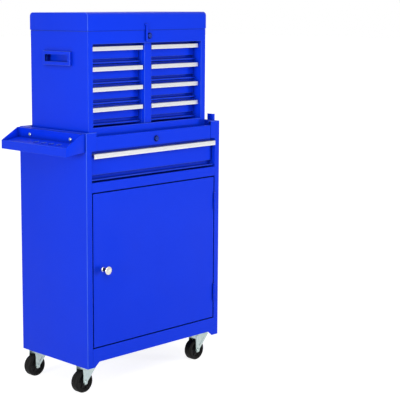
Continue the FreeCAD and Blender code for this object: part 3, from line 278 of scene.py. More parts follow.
finishes = {
    "blue_paint": makePaint("bluePowderCoat", (0.0006, 0.034, 0.73), (0.0014, 0.040, 0.79), 0.33, 0.09),
    # Lighter blue for folds and cut edges: paint worn thin there, and a painted highlight along the edges.
    "edge_paint": makePaint("bluePaintOnEdges", (0.045, 0.12, 0.70), (0.08, 0.18, 0.80), 0.28, 0.04),
    "pull_aluminium": makeMetal("satinAluminium", (0.66, 0.665, 0.67), (0.78, 0.785, 0.79), 0.38,
                                grain["drawn"], 45.0, 0.16),
    "zinc": makeMetal("brightZinc", (0.38, 0.46, 0.45), (0.56, 0.65, 0.62), 0.30, grain["none"], 140.0, 0.22),
    "black_rubber": makeRubber("tyreRubber", (0.0025, 0.0024, 0.0023), (0.007, 0.0066, 0.0062), 0.50,
                               900.0, 0.2),
    "hub_plastic": makeRubber("hubPlastic", (0.005, 0.005, 0.0055), (0.011, 0.011, 0.0115), 0.38,
                              1400.0, 0.08),
    "mat_rubber": makeRubber("matRubber", (0.022, 0.021, 0.020), (0.045, 0.043, 0.040), 0.66, 700.0, 0.35),
    "knob_nickel": makeMetal("satinNickel", (0.60, 0.56, 0.50), (0.80, 0.77, 0.72), 0.22,
                             grain["turned"], 60.0, 0.1),
    # A darker copy of the nickel for the knob's neck: painted shade under the knob's head.
    "knob_neck": makeMetal("shadedNickel", (0.05, 0.045, 0.03), (0.16, 0.14, 0.10), 0.25,
                           grain["turned"], 60.0, 0.1),
    # The lock ring's navy-black and the plug's steel-blue are a painted reflection of the blue paint round
    # them; the ring's darkness is painted shade as well.
    "lock_metal": makeMetal("lockChrome", (0.002, 0.006, 0.07), (0.006, 0.014, 0.13), 0.26,
                            grain["none"], 260.0, 0.1),
    "lock_steel": makeMetal("lockSteel", (0.03, 0.07, 0.42), (0.07, 0.14, 0.62), 0.30,
                            grain["none"], 260.0, 0.1),
    "catch_plastic": makeRubber("catchPlastic", (0.014, 0.014, 0.014), (0.026, 0.026, 0.026), 0.45,
                                1100.0, 0.1),
}
slotOf = {part["node"]: part["material_slot"] for part in frame["record"]["subparts"]}
for label, item in nodes.items():
    item.data.materials.clear()
    item.data.materials.append(finishes[slotOf[label]])
print("finishes made:", len(finishes))


# Shape helpers

def addObject(name, data):
    item = bpy.data.objects.new(name, data)
    scene.collection.objects.link(item)
    return item


def pieceName(label):
    first, *rest = label.split("_")
    return first + "".join(word.capitalize() for word in rest)


def newPiece(name, mesh, *paints):
    piece = addObject(name, mesh)
    for paint in paints:
        mesh.materials.append(finishes[paint])
    return piece


def settle(piece, body, slot, *replaced):
    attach(piece, body)
    if replaced:
        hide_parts(*replaced)


# Turns live modifiers into a plain mesh.
def applyAll(piece):
    view = bpy.context.evaluated_depsgraph_get()
    view.update()
    mesh = bpy.data.meshes.new_from_object(piece.evaluated_get(view), depsgraph=view)
    piece.modifiers.clear()
    old = piece.data
    piece.data = mesh
    bpy.data.meshes.remove(old)


# A part for a tree or a cut to copy, removed afterwards.
def pattern(mesh):
    return addObject("pattern", mesh)


def drop(piece):
    mesh = piece.data
    bpy.data.objects.remove(piece)
    bpy.data.meshes.remove(mesh)


def addCut(piece, cutter):
    cut = piece.modifiers.new("cut", "BOOLEAN")
    cut.operation = "DIFFERENCE"
    cut.object = cutter
    cut.solver = "EXACT"


def openMesh(mesh, merge):
    work = bmesh.new()
    work.from_mesh(mesh)
    bmesh.ops.remove_doubles(work, verts=work.verts, dist=merge)
    return work


# Ends the work on a mesh. With a sharp angle it is smooth elsewhere, without one it is flat.
def saveMesh(work, mesh, sharp=None):
    for face in work.faces:
        face.smooth = sharp is not None
    work.to_mesh(mesh)
    work.free()
    if sharp is not None:
        mesh.set_sharp_from_angle(angle=radians(sharp))
    return mesh


def closeMesh(work, name, sharp=None):
    return saveMesh(work, bpy.data.meshes.new(name), sharp)


def faceOutward(work):
    bmesh.ops.recalc_face_normals(work, faces=work.faces)


def breakEdges(work, width, over=0.0):
    bends = [bend for bend in work.edges if bend.calc_face_angle() > radians(over)]
    bmesh.ops.bevel(work, geom=bends, offset=width * mm, segments=2, profile=0.5, affect="EDGES")


# A profile of (along the axis, radius) turned round the axis, a unit vector.
lathe = {"merge": 1e-7, "tiny": 1e-8, "sharp": 35.0}


def turnedMesh(name, profile, centre, axis, segments=48):
    work = bmesh.new()
    axis = Vector(axis)
    side = axis.orthogonal().normalized()
    verts = [work.verts.new(axis * along * mm + side * radius * mm) for along, radius in profile]
    for first, second in zip(verts, verts[1:]):
        work.edges.new((first, second))
    bmesh.ops.spin(work, geom=work.verts[:] + work.edges[:], cent=(0, 0, 0), axis=axis,
                   angle=2 * pi, steps=segments)
    bmesh.ops.remove_doubles(work, verts=work.verts, dist=lathe["merge"])
    bmesh.ops.dissolve_degenerate(work, edges=work.edges, dist=lathe["tiny"])
    faceOutward(work)
    bmesh.ops.translate(work, verts=work.verts, vec=Vector(centre) * mm)
    return closeMesh(work, name, lathe["sharp"])


# A round pin, its edge broken at the low end.
def pinMesh(name, low, high, radius, edge, centre, axis):
    profile = [(low, 0), (low, radius - edge), (low + edge, radius), (high, radius), (high, 0)]
    return turnedMesh(name, profile, centre, axis, segments=24)


def boxMesh(name, low, high, edge=0.0):
    work = bmesh.new()
    bmesh.ops.create_cube(work, size=1.0)
    low, high = Vector(low) * mm, Vector(high) * mm
    for vert in work.verts:
        vert.co = Vector([low[i] if vert.co[i] < 0 else high[i] for i in range(3)])
    if edge:
        work.normal_update()
        breakEdges(work, edge)
    faceOutward(work)
    return closeMesh(work, name)


# Walls between two rings of as many points.
def wallRings(work, first, second):
    for number in range(len(first)):
        after = (number + 1) % len(first)
        work.faces.new((first[number], second[number], second[after], first[after]))


# An outline across an axis, made solid between two levels along it.
plate = {"over": 40.0}


def plateMesh(name, outline, low, high, axis, edge):
    work = bmesh.new()
    rings = []
    for level in (low, high):
        spots = [list(spot) for spot in outline]
        for spot in spots:
            spot.insert("xyz".index(axis), level)
        rings.append([work.verts.new(Vector(spot) * mm) for spot in spots])
    work.faces.new(rings[0])
    work.faces.new(list(reversed(rings[1])))
    wallRings(work, rings[0], rings[1])
    faceOutward(work)
    breakEdges(work, edge, plate["over"])
    return closeMesh(work, name, crease)


def joinMeshes(name, meshes):
    work = bmesh.new()
    for mesh in meshes:
        work.from_mesh(mesh)
        bpy.data.meshes.remove(mesh)
    return closeMesh(work, name, crease)


# Geometry node trees, for what repeats or is drawn through a die

def geometryTree(name, inputs):
    given = [("Geometry", "Geometry", None), *inputs, ("Material", "Material", None)]
    return newGroup(name, "GeometryNodeTree", given, [("Geometry", "Geometry")])


def finishTree(tree, given, out, geometry):
    real = addNode(tree, "GeometryNodeRealizeInstances")
    paint = addNode(tree, "GeometryNodeSetMaterial")
    link(geometry, real, "Geometry")
    link(real.outputs["Geometry"], paint, "Geometry")
    link(given["Material"], paint, "Material")
    link(paint.outputs["Geometry"], out, "Geometry")
    return tree


def runTree(piece, tree, **values):
    modifier = piece.modifiers.new(tree.name, "NODES")
    modifier.node_group = tree
    for item in tree.interface.items_tree:
        key = item.name.replace(" ", "_")
        if item.item_type == "SOCKET" and item.in_out == "INPUT" and key in values:
            modifier[item.identifier] = values[key]
    applyAll(piece)


# Sets the Part at each of the points, turned where a rotation is given.
def placePart(tree, given, points, rotation=None):
    part = addNode(tree, "GeometryNodeObjectInfo")
    place = addNode(tree, "GeometryNodeInstanceOnPoints")
    link(given["Part"], part, "Object")
    link(points, place, "Points")
    link(part.outputs["Geometry"], place, "Instance")
    if rotation is not None:
        link(rotation, place, "Rotation")
    return place.outputs["Instances"]


# Draws the outline held in the mesh along X, as an extrusion is drawn.
def makeExtrusion():
    tree, given, out = geometryTree("drawnThroughDie", [
        ("Half Length", "Float", 0.1), ("Centre", "Vector", (0.0, 0.0, 0.0))])
    outline = addNode(tree, "GeometryNodeMeshToCurve")
    line = addNode(tree, "GeometryNodeCurvePrimitiveLine")
    sweep = addNode(tree, "GeometryNodeCurveToMesh")
    sweep.inputs["Fill Caps"].default_value = True
    moved = addNode(tree, "GeometryNodeTransform")
    half = given["Half Length"]
    for label, reach in (("Start", addMath(tree, "MULTIPLY", half, -1.0)), ("End", half)):
        end = addNode(tree, "ShaderNodeCombineXYZ")
        link(reach, end, "X")
        link(end.outputs["Vector"], line, label)
    link(given["Geometry"], outline, "Mesh")
    link(line.outputs["Curve"], sweep, "Curve")
    link(outline.outputs["Curve"], sweep, "Profile Curve")
    link(sweep.outputs["Mesh"], moved, "Geometry")
    link(given["Centre"], moved, "Translation")
    return finishTree(tree, given, out, moved.outputs["Geometry"])


# Repeats a part round an axis through a centre.
def makeRing():
    tree, given, out = geometryTree("repeatedRound", [
        ("Part", "Object", None), ("Count", "Int", 6),
        ("Axis", "Vector", (0.0, 0.0, 1.0)), ("Centre", "Vector", (0.0, 0.0, 0.0))])
    points = addNode(tree, "GeometryNodeMeshLine")
    points.inputs["Offset"].default_value = (0.0, 0.0, 0.0)
    index = addNode(tree, "GeometryNodeInputIndex")
    share = addMath(tree, "DIVIDE", index.outputs["Index"], given["Count"])
    turn = addNode(tree, "FunctionNodeAxisAngleToRotation")
    link(given["Count"], points, "Count")
    link(given["Centre"], points, "Start Location")
    link(given["Axis"], turn, "Axis")
    link(addMath(tree, "MULTIPLY", share, 2 * pi), turn, "Angle")
    placed = placePart(tree, given, points.outputs["Mesh"], turn.outputs["Rotation"])
    return finishTree(tree, given, out, placed)


# Repeats a part along a straight row, on the mesh that the piece already has.
def makeRow():
    tree, given, out = geometryTree("repeatedInRow", [
        ("Part", "Object", None), ("Count", "Int", 4),
        ("Start", "Vector", (0.0, 0.0, 0.0)), ("Step", "Vector", (0.0, 0.01, 0.0))])
    points = addNode(tree, "GeometryNodeMeshLine")
    joined = addNode(tree, "GeometryNodeJoinGeometry")
    link(given["Count"], points, "Count")
    link(given["Start"], points, "Start Location")
    link(given["Step"], points, "Offset")
    link(placePart(tree, given, points.outputs["Mesh"]), joined, "Geometry")
    link(given["Geometry"], joined, "Geometry")
    return finishTree(tree, given, out, joined.outputs["Geometry"])


# Sets a part at each point of the mesh, its +Z turned to the point's facing.
def makeFastenerSetter():
    tree, given, out = geometryTree("setFasteners", [("Part", "Object", None)])
    facing = addNode(tree, "GeometryNodeInputNamedAttribute", data_type="FLOAT_VECTOR")
    facing.inputs["Name"].default_value = "facing"
    spin = addNode(tree, "GeometryNodeInputNamedAttribute", data_type="FLOAT")
    spin.inputs["Name"].default_value = "spin"
    align = addNode(tree, "FunctionNodeAlignRotationToVector", axis="Z")
    twist = addNode(tree, "FunctionNodeAxisAngleToRotation")
    twist.inputs["Axis"].default_value = (0.0, 0.0, 1.0)
    turned = addNode(tree, "FunctionNodeRotateRotation", rotation_space="LOCAL")
    link(facing.outputs[0], align, "Vector")
    link(spin.outputs[0], twist, "Angle")
    link(align.outputs["Rotation"], turned, "Rotation")
    link(twist.outputs["Rotation"], turned, "Rotate By")
    placed = placePart(tree, given, given["Geometry"], turned.outputs["Rotation"])
    return finishTree(tree, given, out, placed)


extrusion = makeExtrusion()
ring = makeRing()
row = makeRow()
fastenerSetter = makeFastenerSetter()
print("node trees made")


# Folded sheet has a rounded fold and a lightly broken cut edge.
sheet = {"fold": 0.7, "cut": 0.22, "segments": 2, "thin": 1.4, "flat": 1.0, "merge": 0.002}


# Marks the outward bends for the bevel, a cut edge by the share that it gets of a fold's width.
def weighBends(work, cutShare, hem):
    weight = work.edges.layers.float.new("bevel_weight_edge")
    thin = {}
    for face in work.faces:
        thin[face] = face.calc_area() / (face.calc_perimeter() / 2) < sheet["thin"] * mm
        # Thin cut faces then take the second slot, the lighter edge paint: worn paint and a painted
        # highlight.
        if hem and thin[face]:
            face.material_index = 1
    for bend in work.edges:
        if not bend.is_manifold or not bend.is_convex:
            continue
        if bend.calc_face_angle() < radians(crease):
            continue
        isCut = any(thin[face] for face in bend.link_faces)
        bend[weight] = cutShare if isCut else 1.0


# The shape moves the solid's points, and worn tells where the lighter edge paint, worn paint and a painted
# highlight, stays.
def softenSheet(label, fold=sheet["fold"], cut=sheet["cut"], paint="blue_paint", edge="edge_paint",
                shape=None, hem=False, worn=None):
    mesh = nodes[label].data.copy()
    mesh.materials.clear()
    for attribute in ("custom_normal", "sharp_edge", "sharp_face"):
        if attribute in mesh.attributes:
            mesh.attributes.remove(mesh.attributes[attribute])
    piece = newPiece(pieceName(label), mesh, paint, edge)
    work = openMesh(mesh, sheet["merge"] * mm)
    if shape is not None:
        for vert in work.verts:
            vert.co = shape(vert.co)
    bmesh.ops.dissolve_limit(work, angle_limit=radians(sheet["flat"]), verts=work.verts,
                             edges=work.edges)
    weighBends(work, cut / fold, hem)
    saveMesh(work, mesh, crease)
    bevel = piece.modifiers.new("fold", "BEVEL")
    bevel.limit_method = "WEIGHT"
    bevel.width = fold * mm
    bevel.segments = sheet["segments"]
    bevel.use_clamp_overlap = False
    bevel.harden_normals = True
    # The bevel's faces take the edge finish, which on the blue paint is lighter: worn paint and a painted
    # highlight.
    bevel.material = 1 if edge != paint else 0
    applyAll(piece)
    if worn is not None:
        for face in piece.data.polygons:
            if face.material_index == 1 and not worn(face.center):
                face.material_index = 0
    settle(piece, bodyOf[label], slotOf[label], label)


# A drawer's face reaches up behind its pull, and its lip hangs a little lower.
drawerFace = {"pullWall": 2.0, "near": 0.2, "lowestFall": 2.5}
smallFace = {"rise": 6.0, "lipLevel": 40.0, "lipFall": 1.5}
wideFace = {"rise": 6.0, "lipLevel": 62.0, "lipFall": 3.0}


def drawerShape(pullLabel, rise, lipLevel, lipFall, fallTimes=1.0):
    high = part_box(pullLabel)[1]
    near = drawerFace["near"]

    def shape(co):
        down = (high.z - co.z) / mm
        if abs(down - drawerFace["pullWall"]) < near and co.y < high.y + near * mm:
            return Vector((co.x, co.y, high.z + rise * mm))
        if down > lipLevel:
            return Vector((co.x, co.y, co.z - lipFall * fallTimes * mm))
        return co

    return shape


# The tray's folded sheet ends inside its two end plates.
trayEnd = {"plate": 1.4, "lean": 11.5, "backLow": 696.0, "lipHigh": 713.0, "inside": 0.5, "edge": 0.3}


def trayShape(co):
    low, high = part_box("side_tray")
    inside = trayEnd["inside"] * mm
    return Vector((co.x, min(max(co.y, low.y + inside), high.y - inside), co.z))


# The lid's foot stands clear of the chest, so the seam shows as a dark line.
lidSeam = {"near": 0.6, "lift": 1.7}


def lidShape(co):
    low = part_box("lid_shell")[0]
    if co.z < low.z + lidSeam["near"] * mm:
        return Vector((co.x, co.y, co.z + lidSeam["lift"] * mm))
    return co


# The lighter edge paint, worn paint and a painted highlight, stays on the cabinet's outer corners and its rim
# only.
edgeWearHighlightReach = 1.5


def cabinetCorner(centre):
    low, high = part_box("left_side_panel")
    reach = edgeWearHighlightReach * mm
    atFront = abs(centre.x) > -low.x - reach and centre.y < low.y + reach
    return centre.z > high.z - reach or atFront


heavySheet = {"fold": 1.0, "cut": 0.3, "hem": True, "worn": cabinetCorner}
thinSheet = {"fold": 0.55, "cut": 0.18}
leafSheet = {"fold": 0.3, "cut": 0.15}
zincSheet = {"fold": 0.5, "cut": 0.3, "paint": "zinc", "edge": "zinc"}
for label in ("back_panel", "floor_panel", "hanger_bracket"):
    softenSheet(label)
for label in ("left_side_panel", "right_side_panel", "top_pan"):
    softenSheet(label, **heavySheet)
for label in ("front_rails", "door_panel", "top_front_panel"):
    softenSheet(label, cut=0.15, edge="blue_paint")
softenSheet("side_tray", fold=0.5, cut=0.3, hem=True, shape=trayShape)
softenSheet("wide_drawer_box", shape=drawerShape("wide_drawer_pull", **wideFace), **thinSheet)
softenSheet("chest_shell", fold=1.1, cut=0.18)
for label in ("chest_front_frame", "chest_divider", "chest_pan", "chest_side_handles", "lid_lock_hook"):
    softenSheet(label, **thinSheet)
softenSheet("lid_shell", fold=0.9, cut=0.06, shape=lidShape)
for name in drawerNames:
    times = drawerFace["lowestFall"] if name.endswith("4") else 1.0
    softenSheet(name + "_box", shape=drawerShape(name + "_pull", fallTimes=times, **smallFace), **thinSheet)
for label in ("door_hinge_leaves", "frame_hinge_leaves", "lid_hinge_leaf", "chest_hinge_leaf"):
    softenSheet(label, **leafSheet)
for place in corners:
    softenSheet("caster_fork_" + place, **zincSheet)
softenSheet("caster_plates", **zincSheet)
softenSheet("wide_drawer_runners", fold=0.2, cut=0.15, paint="zinc", edge="zinc")
softenSheet("chest_runners", fold=0.2, cut=0.15, edge="blue_paint")
softenSheet("door_catch", fold=0.6, cut=0.4, paint="catch_plastic", edge="catch_plastic")
print("sheet metal done")


# The tray's end plates reach the cabinet's wall behind the leaning back.
def makeTrayEnds():
    low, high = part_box("side_tray")
    wall, outer = high.x / mm, low.x / mm
    outline = [(wall, trayEnd["backLow"]), (wall, high.z / mm), (wall - trayEnd["lean"], high.z / mm),
               (outer, trayEnd["lipHigh"]), (outer, low.z / mm)]
    plates = [plateMesh("plate", outline, first, first + trayEnd["plate"], "y", trayEnd["edge"])
              for first in (low.y / mm, high.y / mm - trayEnd["plate"])]
    piece = newPiece("sideTrayEnds", joinMeshes("sideTrayEnds", plates), "blue_paint")
    settle(piece, "cabinet", "blue_paint", "side_tray")


makeTrayEnds()


# The strap beside the chest's lock: a narrow bar on a barrel.
strap = {"right": -10.2, "width": 6.2, "proud": 3.9, "foot": 1.2, "footRise": 2.0, "edge": 0.4,
         "barrel": 2.1, "barrelEdge": 0.3, "play": 0.1}


def makeStrap():
    low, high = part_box("lid_strap")
    lidFace, bottom, top = high.y / mm, low.z / mm, high.z / mm
    front, barTop = lidFace - strap["proud"], top - strap["barrel"]
    outline = [(lidFace, bottom), (front + strap["foot"], bottom), (front, bottom + strap["footRise"]),
               (front, barTop), (lidFace, barTop)]
    bar = plateMesh("bar", outline, strap["right"] - strap["width"], strap["right"], "x", strap["edge"])
    half = (high.x - low.x) / 2 / mm - strap["play"]
    radius, edge = strap["barrel"], strap["barrelEdge"]
    profile = [(-half, 0), (-half, radius - edge), (-half + edge, radius), (half - edge, radius),
               (half, radius - edge), (half, 0)]
    centre = (low.x + high.x) / 2 / mm, lidFace - radius - strap["play"], top - radius
    barrel = turnedMesh("barrel", profile, centre, (1, 0, 0), segments=24)
    piece = newPiece("lidStrap", joinMeshes("lidStrap", [bar, barrel]), "blue_paint")
    settle(piece, bodyOf["lid_strap"], slotOf["lid_strap"], "lid_strap")


makeStrap()


# Pulls drawn in aluminium. The outline runs (outward from the face, downward from the top).
pull = {"wall": 2.0, "corner": 1.1, "cornerSteps": 4, "lipEdge": 0.3, "innerEdge": 0.5, "behind": 0.85,
        "grooves": 3, "groovePitch": 1.6, "grooveDepth": 0.25, "grooveWidth": 0.7, "grooveFloor": 0.4,
        "merge": 1e-7}


def pullCorner(out, down, start):
    points = []
    for step in range(pull["cornerSteps"] + 1):
        angle = radians(start - 90 * step / pull["cornerSteps"])
        points.append((out + pull["corner"] * cos(angle), down - pull["corner"] * sin(angle)))
    return points


def pullOutline(reach, height):
    corner, wall = pull["corner"], pull["wall"]
    points = [(0.0, 0.0)] + pullCorner(reach - corner, corner, 90)
    half, floor = pull["grooveWidth"] / 2, reach - pull["grooveDepth"]
    for number in range(pull["grooves"]):
        at = height / 2 + (number - (pull["grooves"] - 1) / 2) * pull["groovePitch"]
        points += [(reach, at - half), (floor, at - half * pull["grooveFloor"]),
                   (floor, at + half * pull["grooveFloor"]), (reach, at + half)]
    points += pullCorner(reach - corner, height - corner, 0)
    inside = reach - wall
    points += [(inside + pull["lipEdge"], height), (inside, height - pull["lipEdge"]),
               (inside, wall + pull["innerEdge"]), (inside - pull["innerEdge"], wall), (0.0, wall)]
    return points


def makePull(label):
    low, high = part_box(label)
    reach, height = (high.y - low.y) / mm - pull["behind"], (high.z - low.z) / mm
    mesh = bpy.data.meshes.new(label)
    outline = pullOutline(reach, height)
    mesh.from_pydata([(out * mm, down * mm, 0.0) for out, down in outline],
                     [(i, (i + 1) % len(outline)) for i in range(len(outline))], [])
    piece = newPiece(pieceName(label), mesh)
    runTree(piece, extrusion, Half_Length=(high.x - low.x) / 2,
            Centre=((low.x + high.x) / 2, high.y - pull["behind"] * mm, high.z),
            Material=finishes["pull_aluminium"])
    work = openMesh(piece.data, pull["merge"])
    faceOutward(work)
    saveMesh(work, piece.data, crease)
    settle(piece, bodyOf[label], "pull_aluminium", label)


for label in ["wide_drawer_pull"] + [name + "_pull" for name in drawerNames]:
    makePull(label)
print("pulls done")


# Rubber mats with fine ribs
mat = {"rib": 0.7, "ribEnd": 0.3, "ribSides": 8, "sunk": 0.1, "pitch": 2.6, "margin": 4.0, "edge": 0.6}


def makeMat(label):
    low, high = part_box(label)
    low, high = low / mm, high / mm
    level = high.z - mat["rib"] - mat["sunk"]
    slab = boxMesh(label, low, (high.x, high.y, level), mat["edge"])
    half = (high.x - low.x) / 2 - mat["margin"]
    profile = [(-half, 0), (-half + mat["ribEnd"], mat["rib"]), (half - mat["ribEnd"], mat["rib"]), (half, 0)]
    rib = pattern(turnedMesh("rib", profile, (0, 0, 0), (1, 0, 0), mat["ribSides"]))
    count = int((high.y - low.y - 2 * mat["margin"]) / mat["pitch"]) + 1
    first = (low.y + high.y) / 2 - (count - 1) * mat["pitch"] / 2
    piece = newPiece(pieceName(label), slab)
    runTree(piece, row, Part=rib, Count=count, Start=((low.x + high.x) / 2 * mm, first * mm, level * mm),
            Step=(0.0, mat["pitch"] * mm, 0.0), Material=finishes["mat_rubber"])
    drop(rib)
    settle(piece, bodyOf[label], "mat_rubber", label)


makeMat("top_mat")
makeMat("chest_mat")
print("mats done")


# The door's knob, turned in one piece, on a stud through the door
knob = {"face": -148.0, "radius": 12.3, "neck": 4.8, "foot": 6.7, "neckFrom": 5.5, "neckTo": 19.0,
        "rimAt": 22.9, "rimDeep": 2.6, "rimRound": 2.4, "rimStart": -35, "rimSweep": 100, "rimSteps": 8}
stud = {"back": -3.4, "front": 0.2, "radius": 2.5, "edge": 0.3}


def knobProfile():
    radius, neck, foot = knob["radius"], knob["neck"], knob["foot"]
    profile = [(0.1, 0), (0.1, foot - 0.5), (0.5, foot), (1.1, foot - 0.1), (1.9, neck + 0.7), (3.2, neck),
               (12.0, neck - 0.3), (16.5, neck + 0.2), (18.6, neck + 1.6), (19.6, neck + 3.9),
               (20.3, radius - 2.1)]
    for step in range(knob["rimSteps"] + 1):
        angle = radians(knob["rimStart"] + knob["rimSweep"] * step / knob["rimSteps"])
        profile.append((knob["rimAt"] + knob["rimDeep"] * sin(angle),
                        radius - knob["rimRound"] + knob["rimRound"] * cos(angle)))
    return profile + [(26.2, radius - 3.0), (27.2, radius - 5.8), (27.8, radius - 9.0), (27.95, 0)]


def makeKnob():
    low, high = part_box("door_knob")
    centre = ((low.x + high.x) / 2 / mm, knob["face"], (low.z + high.z) / 2 / mm)
    outward = (0, -1, 0)
    mesh = turnedMesh("doorKnob", knobProfile(), centre, outward, segments=64)
    piece = newPiece("doorKnob", mesh, "knob_nickel", "knob_neck")
    # The neck between foot and head gets the darker nickel, painted shade under the head.
    for face in piece.data.polygons:
        if knob["neckFrom"] < knob["face"] - face.center.y / mm < knob["neckTo"]:
            face.material_index = 1
    settle(piece, "door", "knob_nickel", "door_knob")
    pin = pinMesh("doorKnobStud", stud["back"], stud["front"], stud["radius"], stud["edge"], centre, outward)
    settle(newPiece("doorKnobStud", pin, "zinc"), "door", "zinc")


makeKnob()


# Locks: a turned ring, and a plug with its keyway
lock = {"ring": 8.8, "bore": 5.65, "sleeve": 7.3, "proud": 4.0, "edge": 0.18, "over": 50.0, "merge": 0.002,
        "keyWidth": 1.5, "keyHeight": 6.4, "keyDepth": 6.0, "keyOver": 1.0}
lockPlaces = {"cabinet": {"face": -147.0, "level": 714.0, "deep": 9.0},
              "chest": {"face": -118.5, "level": 1009.7, "deep": 12.0}}


def makeLock(prefix, face, level, deep):
    ringOut, bore, sleeve = lock["ring"], lock["bore"], lock["sleeve"]
    profile = [(-deep, bore), (-deep, sleeve - 0.3), (-deep + 0.3, sleeve), (0.0, sleeve),
               (0.0, ringOut - 0.3), (0.3, ringOut), (1.6, ringOut - 0.1), (2.6, ringOut - 0.6),
               (3.4, ringOut - 1.5), (3.85, ringOut - 2.3), (3.6, bore + 0.4), (3.0, bore), (-deep, bore)]
    mesh = turnedMesh(prefix + "Ring", profile, (0, face, level), (0, -1, 0))
    settle(newPiece(prefix + "LockRing", mesh, "lock_metal"), prefix, "lock_metal", prefix + "_lock_sleeve")


# The plug keeps the solid's shape, with a keyway cut into its face.
def makePlug(label, face, level):
    mesh = nodes[label].data.copy()
    mesh.materials.clear()
    work = openMesh(mesh, lock["merge"] * mm)
    work.to_mesh(mesh)
    work.free()
    piece = newPiece(pieceName(label), mesh, "lock_steel")
    half, tall, front = lock["keyWidth"] / 2, lock["keyHeight"] / 2, face - lock["proud"]
    key = pattern(boxMesh("key", (-half, front - lock["keyOver"], level - tall),
                          (half, front + lock["keyDepth"], level + tall)))
    addCut(piece, key)
    rounded = piece.modifiers.new("brokenEdge", "BEVEL")
    rounded.limit_method = "ANGLE"
    rounded.angle_limit = radians(lock["over"])
    rounded.width = lock["edge"] * mm
    rounded.segments = 2
    applyAll(piece)
    drop(key)
    piece.data.set_sharp_from_angle(angle=radians(crease))
    settle(piece, bodyOf[label], slotOf[label], label)


for prefix, spot in lockPlaces.items():
    makeLock(prefix, spot["face"], spot["level"], spot["deep"])
for prefix, spot in lockPlaces.items():
    makePlug(prefix + "_lock_plug", spot["face"], spot["level"])
print("knob and locks done")


# Wheels: a moulded hub with spokes, and a tyre. Both outlines are drawn to the middle and mirrored.
wheel = {"radius": 31.75, "half": 12.8, "rim": 22.75, "wallRound": 5.2, "treadRound": 4.9, "roundSteps": 8,
         "grooveOut": 3.9, "grooveIn": 2.7, "grooveSlope": 0.3, "grooveDepth": 0.9}
spoke = {"count": 6, "from": 9.0, "to": 21.0, "half": 10.0, "thick": 1.1, "edge": 0.4}


def mirroredOutline(outline):
    whole = outline + [(-along, out) for along, out in reversed(outline)]
    return whole + [whole[0]]


def tyreOutline():
    half, radius, rim, wallRound = wheel["half"], wheel["radius"], wheel["rim"], wheel["wallRound"]
    points = [(-half + 0.6, rim + 0.6), (-half, rim + 1.6), (-half, radius - 5.0)]
    for step in range(1, wheel["roundSteps"]):
        angle = radians(180 - 90 * step / wheel["roundSteps"])
        points.append((-half + wallRound + wallRound * cos(angle),
                       radius - wheel["treadRound"] + wheel["treadRound"] * sin(angle)))
    out, inner, slope = -wheel["grooveOut"], -wheel["grooveIn"], wheel["grooveSlope"]
    floor = radius - wheel["grooveDepth"]
    points += [(-half + wallRound, radius), (out, radius), (out + slope, floor), (inner - slope, floor),
               (inner, radius)]
    return mirroredOutline(points)


def hubOutline():
    half, rim = wheel["half"], wheel["rim"]
    return mirroredOutline([(-13.2, 3.05), (-13.2, 5.6), (-12.9, 6.0), (-10.4, 6.2), (-10.2, 9.8),
                            (-9.9, 10.3), (-7.6, 10.6), (-7.3, 20.2), (-10.0, 20.6), (-10.5, 21.1),
                            (-10.5, rim + 0.2), (-half + 1.2, rim + 0.9)])


def wheelCentre(place):
    low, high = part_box("caster_wheel_" + place)
    return (low.x + high.x) / 2 / mm, (low.y + high.y) / 2 / mm, wheel["radius"]


def makeWheel(place):
    label, body, axle = "caster_wheel_" + place, "wheel_" + place, (0, 1, 0)
    centre = wheelCentre(place)
    for word, outline, segments, paint in (("tyre", tyreOutline(), 72, "black_rubber"),
                                           ("hub", hubOutline(), 60, "hub_plastic")):
        turned = newPiece(word + "_" + place, turnedMesh(word, outline, centre, axle, segments), paint)
        settle(turned, body, "black_rubber", label)
    blade = pattern(boxMesh("spoke", (spoke["from"], -spoke["half"], -spoke["thick"]),
                            (spoke["to"], spoke["half"], spoke["thick"]), spoke["edge"]))
    spokes = newPiece("spokes_" + place, bpy.data.meshes.new("spokes"))
    runTree(spokes, ring, Part=blade, Count=spoke["count"], Axis=(0.0, 1.0, 0.0),
            Centre=tuple(Vector(centre) * mm), Material=finishes["hub_plastic"])
    drop(blade)
    settle(spokes, body, "black_rubber", label)


# Each leg of a fork has a pressed rib down to its rounded foot.
forkRib = {"radius": 6.0, "top": 79.0, "outer": 16.2, "proud": 0.9, "sunk": 0.3, "edge": 0.6, "steps": 10}


def makeForkRibs(place):
    x, y, z = wheelCentre(place)
    radius = forkRib["radius"]
    outline = [(x + radius, forkRib["top"]), (x - radius, forkRib["top"])]
    for step in range(forkRib["steps"] + 1):
        angle = pi * (1 + step / forkRib["steps"])
        outline.append((x + radius * cos(angle), z + radius * sin(angle)))
    ribs = []
    for side in (-1, 1):
        face = y + side * forkRib["outer"]
        levels = sorted((face - side * forkRib["sunk"], face + side * forkRib["proud"]))
        ribs.append(plateMesh("rib", outline, *levels, "y", forkRib["edge"]))
    piece = newPiece("forkRibs_" + place, joinMeshes("forkRibs", ribs), "zinc")
    settle(piece, bodyOf["caster_fork_" + place], "zinc")


for place in corners:
    makeWheel(place)
    makeForkRibs(place)
print("wheels done")


